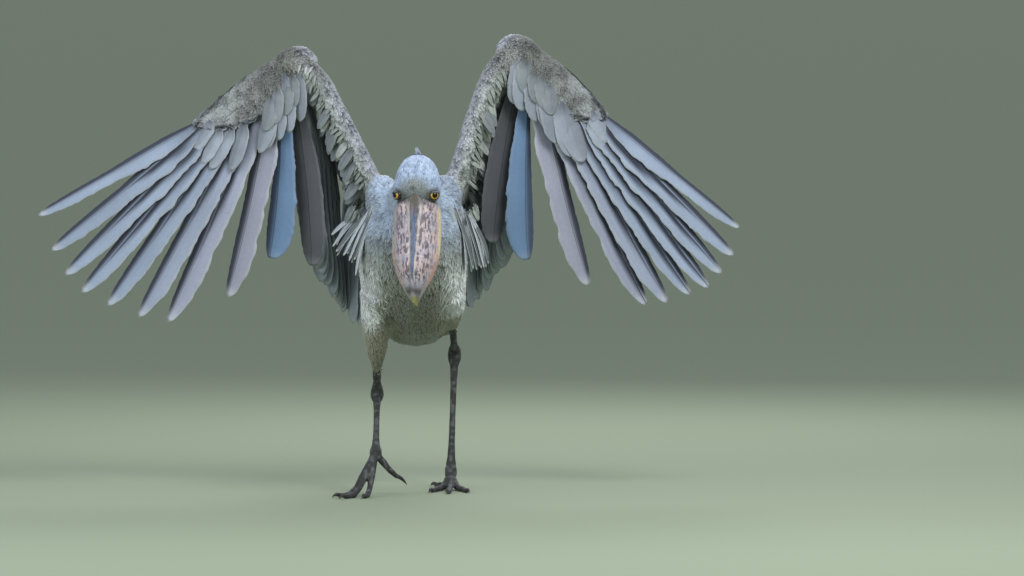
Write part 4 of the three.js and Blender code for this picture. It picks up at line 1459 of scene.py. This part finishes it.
def nape_tuft():
    """A short pointed tuft at the back of the crown."""
    count, steps = 34, 6
    k = rng.uniform(-1, 1, count)
    root, normal, uv = surface.snap(in_head(-86 + 4 * np.abs(k), -24 + rng.normal(0, 5, count), k * 13 - 2))
    way = unit(-AHEAD + CROWN * 0.25 - BESIDE * (k * 0.55)[:, None] + rng.normal(0, 0.08, (count, 3)))
    length = (20 - 10 * np.abs(k)) * rng.uniform(0.85, 1.1, count)
    t = np.linspace(0, 1, steps)[None]
    line = root[:, None] + way[:, None] * length[:, None, None] * t[..., None]
    side = unit(np.cross(way, normal))[:, None] * np.ones((1, steps, 1))
    facing = unit(np.cross(side, way[:, None]))
    half = 2.4 * vane_outline(t, 0.2, 1.3) * np.ones((count, 1))
    coat = Coat()
    coat.add(line, side, facing, half, np.tile(mix(C_HEAD, C_PALE, 0.4), (count, 1)), uv)
    coat.build("coat_nape_tuft", small_feather)


nape_tuft()


# The bill, with the solids' outline, a keeled ridge, grooves, a hooked nail and a wavy cutting edge.
def bill_half_width(s):
    base = 0.5 + 0.5 * smoothstep(s, -0.01, 0.085)
    return base * (48 + 22 * s - 28 * s * s) - 140 * np.maximum(0, s - 0.46) ** 2


def ridge_height(s):
    return 1 - 42 * s + 46 * s * s - 290 * np.maximum(0, s - 0.66) ** 1.6


def cutting_edge(s):
    return -50 - 10 * np.sin(math.pi * np.minimum(1, s * 0.8)) - 272 * np.maximum(0, s - 0.9)


# One side of a section, below the ridge, as shares of the half width and of the height.
BILL_OUTLINE = [(0.42, 0.86), (0.72, 0.64), (0.93, 0.34), (1, 0.1), (0.97, 0)]
C_BILL = srgb(166, 158, 168)
C_BILL_WARM = srgb(184, 166, 166)
C_BILL_DARK = srgb(70, 60, 72)
C_FLECK = srgb(206, 192, 194)
C_CREAM = srgb(214, 210, 206)
C_YELLOW = srgb(222, 202, 156)
C_ORANGE = srgb(204, 142, 112)
C_CULMEN = srgb(72, 96, 128)
C_CULMEN_TOP = srgb(98, 84, 84)
C_NAIL = srgb(150, 148, 156)
C_NAIL_DARK = srgb(78, 74, 74)
C_TIP = srgb(150, 146, 84)


def keel_width(s):
    """Half width of the dark stripe along the bill's ridge."""
    return 2.4 + 5.2 * (1 - smoothstep(s, 0.0, 0.85)) + 1.6 * (1 - smoothstep(s, 0.0, 0.3))


def both_sides(values, sign=1):
    """Values down one side of a section and back up the other."""
    return np.r_[values, sign * values[1:-1][::-1]]


def upper_bill_rings(s, half):
    """Sections of the bill, with each place's share across and its share of the height."""
    top = ridge_height(s)
    bottom = np.minimum(cutting_edge(s), top - 9)
    ridge = mix(0.26, 0.12, s)
    v = np.linspace(0, 1, 64)
    rings, across, height = [], [], []
    for i in range(len(s)):
        shape = [(0, 1), (ridge[i], 0.985), *BILL_OUTLINE]
        u, h = smooth_line([(a, b, 0) for a, b in shape], v)[:, :2].T
        # A narrow keel stands along the middle, with a groove on each side of it.
        keel = keel_width(s[i]) / half[i]
        lift = 3.4 * hump(u, 0, keel * 1.5, 4) * smoothstep(s[i], 0.0, 0.1)
        groove = -2.4 * hump(u, keel * 2.3, keel * 0.7) * (h > 0.5) * smoothstep(s[i], 0.02, 0.12)
        nail_rise = 2.2 * smoothstep(s[i], 0.8, 0.86) * (1 - smoothstep(s[i], 0.93, 0.99)) * (u < 0.75)
        p_fine = in_head(s[i] * BILL_LENGTH * 0.4, 0 * u, u * half[i] * 1.6)
        wrinkle = 0.9 * (noise3(p_fine, 5.0, 28) - 0.5) * smoothstep(u, 0.2, 0.35) * smoothstep(h, 0.05, 0.2)
        level = bottom[i] + (top[i] - bottom[i]) * h + lift + groove + nail_rise + wrinkle
        wave = 0.9 * np.sin(s[i] * 70) * (h < 0.05)
        rings.append(in_head(s[i] * BILL_LENGTH, both_sides(level + wave), both_sides(u, -1) * half[i]))
        across.append(both_sides(u, -1))
        height.append(both_sides(h))
    return np.array(rings), np.array(across), np.array(height)


def upper_bill_colours(s, half, rings, across, height):
    """Markings from the place along and across the bill."""
    sg = np.repeat(s[:, None], rings.shape[1], 1)
    side = np.abs(across)
    flat = rings @ np.stack([BESIDE, CROWN, AHEAD * 0.3], 1)
    streak = noise3(flat, 3.2, 21)
    wrinkle = noise3(flat, 1.9, 26)
    blotch = noise3(rings, 13, 22)
    fleck = noise3(rings @ np.stack([BESIDE, CROWN, AHEAD * 0.6], 1), 2.4, 24)
    ridge = height > 0.5
    keel = (keel_width(s) / half)[:, None]
    before_nail = 1 - smoothstep(sg, 0.78, 0.84)
    # Dark streaks on a warm ground, with pale flecks.
    inner = 1 - smoothstep(side, 0.55, 0.95) * 0.55
    c = paint(C_BILL, C_BILL_WARM, smoothstep(blotch, 0.35, 0.75))
    c = paint(c, C_BILL_DARK, smoothstep(streak * 0.55 + wrinkle * 0.45, 0.44, 0.58) * 0.85 * inner)
    c = paint(c, C_FLECK, smoothstep(fleck, 0.66, 0.84) * 0.6)
    # Yellow and orange along the cutting edge, each stronger on one side.
    edge = smoothstep(-height, -0.5, -0.16) * smoothstep(side, 0.6, 0.86)
    ours = across > 0
    strip = edge * smoothstep(sg, 0.06, 0.16) * (1 - smoothstep(sg, 0.5, 0.62)) * np.where(ours, 1.0, 0.55)
    orange = edge * smoothstep(sg, 0.46, 0.6) * (1 - smoothstep(sg, 0.84, 0.92)) * np.where(ours, 0.75, 1.0)
    c = paint(c, C_YELLOW, strip * 0.95)
    c = paint(c, C_ORANGE, orange * 0.8)
    c = paint(c, C_BILL_DARK * 0.5, hump(sg, 0.33, 0.018) * smoothstep(-across, 0.86, 0.95) * 0.9)
    # The dark stripe along the ridge, its borders and a broken pale line beside it.
    stripe = hump(across, 0, keel * 1.05, 4) * ridge
    border = hump(side, keel * 1.05, keel * 0.3) * ridge * smoothstep(sg, 0.08, 0.16) * before_nail
    tone = paint(C_CULMEN_TOP, C_CULMEN, smoothstep(sg, 0.1, 0.26))
    tone = paint(tone, C_BILL_DARK, smoothstep(wrinkle, 0.5, 0.75) * (1 - smoothstep(sg, 0.16, 0.4)) * 0.6)
    c = paint(c, tone, stripe * 0.9 * before_nail)
    c = paint(c, C_BILL_DARK * 0.6, border * 0.7)
    waver = 0.5 * (noise3(rings, 16, 27) - 0.5)
    lines = hump(side, keel * (1.75 + waver), keel * 0.42) * ridge
    broken = 0.7 + 0.5 * (fleck - 0.5)
    c = paint(c, C_CREAM, lines * broken * smoothstep(sg, 0.02, 0.12) * before_nail)
    # The nail, its knob and the tip, and painted shade at the base, where the bill meets the head.
    nail = smoothstep(sg + 0.02 * side, 0.8, 0.85) * (1 - smoothstep(side, 0.62, 0.9) * 0.5)
    c = paint(c, C_NAIL * (0.8 + 0.5 * blotch[..., None]), nail * 0.85)
    c = paint(c, C_NAIL_DARK, hump(sg, 0.9, 0.03) * (side < 0.85) * 0.85)
    c = paint(c, C_TIP, smoothstep(sg, 0.93, 0.965) * 0.9)
    base = 1 - smoothstep(sg + 0.05 * (streak - 0.5) - 0.06 * (1 - smoothstep(side, 0.1, 0.5)), 0.0, 0.1)
    return paint(c, C_FACE_PAINTED_SHADE * 0.8, base * 0.85)


def upper_bill():
    s = np.linspace(0, 1, 230)
    half = np.maximum(bill_half_width(s), 4)
    rings, across, height = upper_bill_rings(s, half)
    obj = make_mesh("bill_upper_horn", *closed_loft(rings))
    fix_outward(obj)
    set_loft_tint(obj, upper_bill_colours(s, half, rings, across, height))
    return obj


def lower_bill():
    rows, count = 90, 40
    s = np.linspace(0, 0.87, rows)
    half = np.maximum(bill_half_width(s) - 4.5, 6)
    top = cutting_edge(s) + 5
    bottom = -82 - 6 * np.sin(math.pi * np.minimum(s * 1.3, 1)) + 57 * np.maximum(0, s - 0.45) ** 1.3
    turn = np.linspace(0, 2 * math.pi, count, endpoint=False)
    u, v = (np.sign(w) * np.abs(w) ** 0.8 for w in (np.cos(turn), np.sin(turn)))
    middle, deep = (top + bottom) / 2, (top - bottom) / 2
    crown = middle[:, None] + v[None] * deep[:, None]
    rings = in_head((s * BILL_LENGTH)[:, None], crown, u[None] * half[:, None])
    obj = make_mesh("bill_lower_horn", *closed_loft(rings))
    fix_outward(obj)
    tone = paint(C_BILL * 1.02, C_BILL_DARK, smoothstep(noise3(rings, 12, 31), 0.5, 0.75) * 0.5)
    set_loft_tint(obj, paint(tone, C_YELLOW, smoothstep(v[None], 0.2, 0.8) * 0.7))
    return obj


bill_horn = feather_material("bill_horn_look", 210, 0.5, 0.0, gloss=0.45)
bill_pieces = [upper_bill(), lower_bill()]
for piece, node in zip(bill_pieces, ("bill_upper", "bill_lower")):
    piece.data.materials.append(bill_horn)
    unwrap(piece)
    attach(piece, "root")
    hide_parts(node)


# Eyes: a glossy ball with a black pupil and a yellow iris, inside two lids.
EYE_RADIUS = 11.5
PUPIL_EDGE = (5.8, 6.3)
# How far each eye looks aside.
ASIDE = {1: 0.36, -1: 0.8}
C_IRIS = srgb(206, 158, 60)
C_IRIS_RIM = srgb(150, 112, 36)


def eye_gaze(mirror):
    return unit(BESIDE * mirror * ASIDE[mirror] + AHEAD * 0.24 + CROWN * 0.76)


def build_eye(side, mirror):
    centre = EYES[mirror]
    gaze = eye_gaze(mirror)
    a = unit(np.cross(gaze, AHEAD))
    b = np.cross(gaze, a)
    rows, count = 48, 56
    polar = np.linspace(0.0, math.pi, rows) ** 1.25 / math.pi**0.25
    turn = np.linspace(0, 2 * math.pi, count, endpoint=False)
    bulge = EYE_RADIUS * (1 + 0.05 * hump(polar, 0, 0.45))
    ahead = gaze * (np.cos(polar) * bulge)[:, None, None]
    around = (a * np.cos(turn)[:, None] + b * np.sin(turn)[:, None])[None]
    rings = centre + (ahead + around * (np.sin(polar) * bulge)[:, None, None])
    obj = make_mesh(f"eye_{side}_ball", *closed_loft(rings))
    fix_outward(obj)
    reach = (np.sin(polar) * EYE_RADIUS)[:, None]
    circle = np.broadcast_arrays(np.cos(turn)[None] * 30, np.sin(turn)[None] * 30, reach)
    c = C_IRIS * (0.85 + 0.3 * noise3(np.stack(circle, -1), 3, 41))[..., None]
    c = paint(c, C_IRIS_RIM, smoothstep(reach, 7.4, 8.6) * 0.85)
    c = paint(c, arr(0.004, 0.004, 0.004), 1 - smoothstep(reach, *PUPIL_EDGE))
    c = paint(c, arr(0.02, 0.02, 0.02), smoothstep(reach, 8.6, 9.2))
    set_loft_tint(obj, np.where((polar > 1.5)[:, None, None], 0.02, c))
    return obj


eye_look, eye_shader = new_material("eye_look", Roughness=0.08, Specular_IOR_Level=0.3)
eye_tint = add_node(eye_look, "Attribute", {}, attribute_name="tint")
connect(eye_look, eye_shader, {"Base Color": eye_tint.outputs["Color"]})


def build_lids(side, mirror):
    """A ring of bare skin round the eye, thicker above, with a brow that shades it."""
    centre = EYES[mirror]
    gaze = eye_gaze(mirror)
    up = unit(-AHEAD - gaze * (-AHEAD @ gaze))
    across = np.cross(up, gaze)
    count, round_count = 48, 12
    turn = np.linspace(0, 2 * math.pi, count, endpoint=False)
    tube = np.linspace(0, 2 * math.pi, round_count, endpoint=False)
    ring = np.empty((count, round_count, 3))
    for i, angle in enumerate(turn):
        above = max(0.0, math.sin(angle))
        slant = up * (mirror * math.cos(angle) * 0.24 * above)
        out = across * math.cos(angle) * 0.98 + up * math.sin(angle) * mix(0.92, 0.6, above) + slant
        thick = mix(1.6, 3.6, above**1.5)
        middle = centre + gaze * mix(6.4, 8.6, above) + out * 9.8
        beside = unit(out) * (np.cos(tube) * thick)[:, None]
        ring[i] = middle + beside + gaze * (np.sin(tube) * thick * 0.8)[:, None]
    verts = ring.reshape(-1, 3)
    i, k = np.meshgrid(np.arange(count), np.arange(round_count), indexing="ij")
    a = i * round_count + k
    b = i * round_count + (k + 1) % round_count
    c = (i + 1) % count * round_count + (k + 1) % round_count
    d = (i + 1) % count * round_count + k
    obj = make_mesh(f"lids_{side}", verts, split_quads(np.stack([a, b, c, d], -1).reshape(-1, 4)))
    fix_outward(obj)
    height = ((verts - centre) @ up)[:, None]
    set_tint(obj, mix(srgb(58, 60, 54), C_FOREHEAD * 0.75, smoothstep(height, 2, 11)))
    obj.data.materials.append(skin_material)
    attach(obj, "root")


for eye_side, eye_mirror in (("left", 1), ("right", -1)):
    ball = build_eye(eye_side, eye_mirror)
    ball.data.materials.append(eye_look)
    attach(ball, "root")
    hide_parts(f"eye_{eye_side}")
    build_lids(eye_side, eye_mirror)


# Legs and claws.
C_LEG = srgb(54, 55, 54)
C_LEG_PALE = srgb(122, 126, 132)
C_CLAW = srgb(46, 44, 44)


def leg_material():
    """The tint with raised scales."""
    material = feather_material("leg_scales", 260, 0.62, 0.0)
    place = find_node(material, "TEX_COORD").outputs["Object"]
    scales = add_node(material, "TexVoronoi", {"Scale": 240, "Vector": place}, feature="DISTANCE_TO_EDGE")
    edge = add_node(material, "MapRange", {"From Max": 0.12, "Value": scales.outputs["Distance"]})
    relief = {"Height": edge.outputs["Result"], "Strength": 0.5, "Distance": 0.0008}
    connect(material, find_node(material, "BUMP"), relief)
    return material


leg_look = leg_material()
LEG_VOXEL = 0.0018
KNOB_SIZE = 26


def joint_bodies(leg):
    """Stations of the bodies that join the leg's solids: in the feathers, at the ankle and above the toes."""
    knee, ankle, joint = leg["knee"], leg["ankle"], leg["joint"]
    shin = unit(ankle - joint)
    hidden = [(mix(knee, ankle, leg["feathered"] + k), 9.5, 10) for k in (-0.16, -0.05, 0.06)]
    link = [(mix(ankle, knee, 0.06), 12, 13), (ankle, 14.5, 15.5), (mix(ankle, joint, 0.06), 13, 14)]
    return hidden, link, [(joint + shin * 14, 8, 8.5), (joint + shin * 2, 12, 10), (joint - shin * 8, 11, 10)]


def leg_skin(side, leg):
    nodes = [f"leg_{side}_{part}" for part in ("shank", "tarsus", "foot")]
    shells = [cad_shell(node) for node in nodes]
    shells += [closed_loft(ring_body(body, (1, 0, 0), 12, 20)) for body in joint_bodies(leg)]
    legs_skin = remeshed(f"leg_{side}_skin", shells, LEG_VOXEL, 5)
    co = places_mm(legs_skin)
    # Random pale patches over the dark scales, and a darker knob at the ankle.
    pale_patches = smoothstep(noise3(co, 7, 51), 0.42, 0.8)
    knob = hump(np.linalg.norm(co - leg["ankle"], axis=1), 0, KNOB_SIZE)[:, None]
    set_tint(legs_skin, paint(C_LEG, C_LEG_PALE, pale_patches * 0.36) * (1 - 0.45 * knob))
    legs_skin.data.materials.append(leg_look)
    unwrap(legs_skin)
    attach(legs_skin, "root")
    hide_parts(*nodes)


def claw_stations(leg, k):
    """Stations along claw k, which bends down from its toe's end."""
    toe_length, spread = TOES[k]
    turn = math.radians(leg["heading"] + leg["mirror"] * spread)
    way = arr(math.sin(turn), -math.cos(turn), 0)
    height, slope = (leg["toe_end"], 0.0) if k < 3 else leg["hind_end"]
    # Mm beyond the toe's end, rise, half width and half height.
    sections = [
        (-2, 1.2, 4.2, 4.4),
        (CLAWS[k] * 0.35, 2.4, 3.8, 4.0),
        (CLAWS[k] * 0.75, 0.6, 2.2, 2.4),
        (CLAWS[k], -3.1, 0.6, 0.6),
    ]
    stations = []
    for beyond, rise, wide, deep in sections:
        place = leg["joint"] + way * (toe_length * leg["reach"] + beyond)
        place[2] = FLOOR + height + rise + slope * beyond / CLAWS[k]
        stations.append((place, wide, deep))
    return stations, (-way[1], way[0], 0)


for leg_side, leg_data in LEGS.items():
    leg_skin(leg_side, leg_data)
    for k in range(len(TOES)):
        claw_body = ring_body(*claw_stations(leg_data, k), 20, 20)
        claw = make_mesh(f"claw_{leg_side}_{k + 1}_horn", *closed_loft(claw_body))
        fix_outward(claw)
        set_tint(claw, np.tile(C_CLAW, (len(claw.data.vertices), 1)))
        claw.data.materials.append(bill_horn)
        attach(claw, "root")
        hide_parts(f"claw_{leg_side}_{k + 1}")


# Stage: a plain floor, soft lights and the camera.
FLOOR_RADIUS = 180


def floor_disc():
    """A plain round floor, wide enough to fill the view from every side."""
    turn = np.linspace(0, 2 * math.pi, 64, endpoint=False)
    mesh = bpy.data.meshes.new("floor_disc")
    rim = [(FLOOR_RADIUS * math.cos(a), FLOOR_RADIUS * math.sin(a), 0) for a in turn]
    mesh.from_pydata(rim, [], [tuple(range(64))])
    obj = bpy.data.objects.new("floor_disc", mesh)
    bpy.context.scene.collection.objects.link(obj)
    look, _ = new_material("floor_green_grey", Base_Color=(0.24, 0.29, 0.2, 1), Roughness=0.95)
    mesh.materials.append(look)
    return obj


floor_disc()

world = bpy.data.worlds.new("world")
bpy.context.scene.world = world
world.use_nodes = True
sky = world.node_tree.nodes["Background"]
sky.inputs["Color"].default_value = (0.78, 0.82, 0.88, 1)
sky.inputs["Strength"].default_value = 0.66


def area_light(name, place, aim, power, size, colour=(1, 1, 1)):
    data = bpy.data.lights.new(name, "AREA")
    data.energy = power
    data.size = size
    data.color = colour
    light = bpy.data.objects.new(name, data)
    light.location = place
    light.rotation_euler = (Vector(aim) - Vector(place)).to_track_quat("-Z", "Y").to_euler()
    bpy.context.scene.collection.objects.link(light)


area_light("key", (1.5, -2.8, 2.9), (0, 0, 0.6), 108, 1.3)
area_light("fill", (-2.4, -2.6, 1.6), (0, 0, 0.6), 50, 2.2, (0.92, 0.96, 1.0))
area_light("rim", (0.6, 2.8, 2.6), (0, 0, 0.7), 60, 1.8)

# The camera looks from far away and a little above, as in the photo.
CAMERA_DISTANCE = 18.5
CAMERA_RISE = math.radians(2.5)
AIM = arr(211, 0, 406) / 1000 + SHIFT
camera_data = bpy.data.cameras.new("camera")
camera_data.sensor_width = 36
camera_data.lens = 300
camera_data.clip_end = 600
camera = bpy.data.objects.new("camera", camera_data)
bpy.context.scene.collection.objects.link(camera)
away = arr(0, -math.cos(CAMERA_RISE), math.sin(CAMERA_RISE)) * CAMERA_DISTANCE
camera.location = Vector(AIM + away)
camera.rotation_euler = Vector(-away).to_track_quat("-Z", "Y").to_euler()
bpy.context.scene.camera = camera
bpy.context.scene.view_settings.view_transform = "Standard"

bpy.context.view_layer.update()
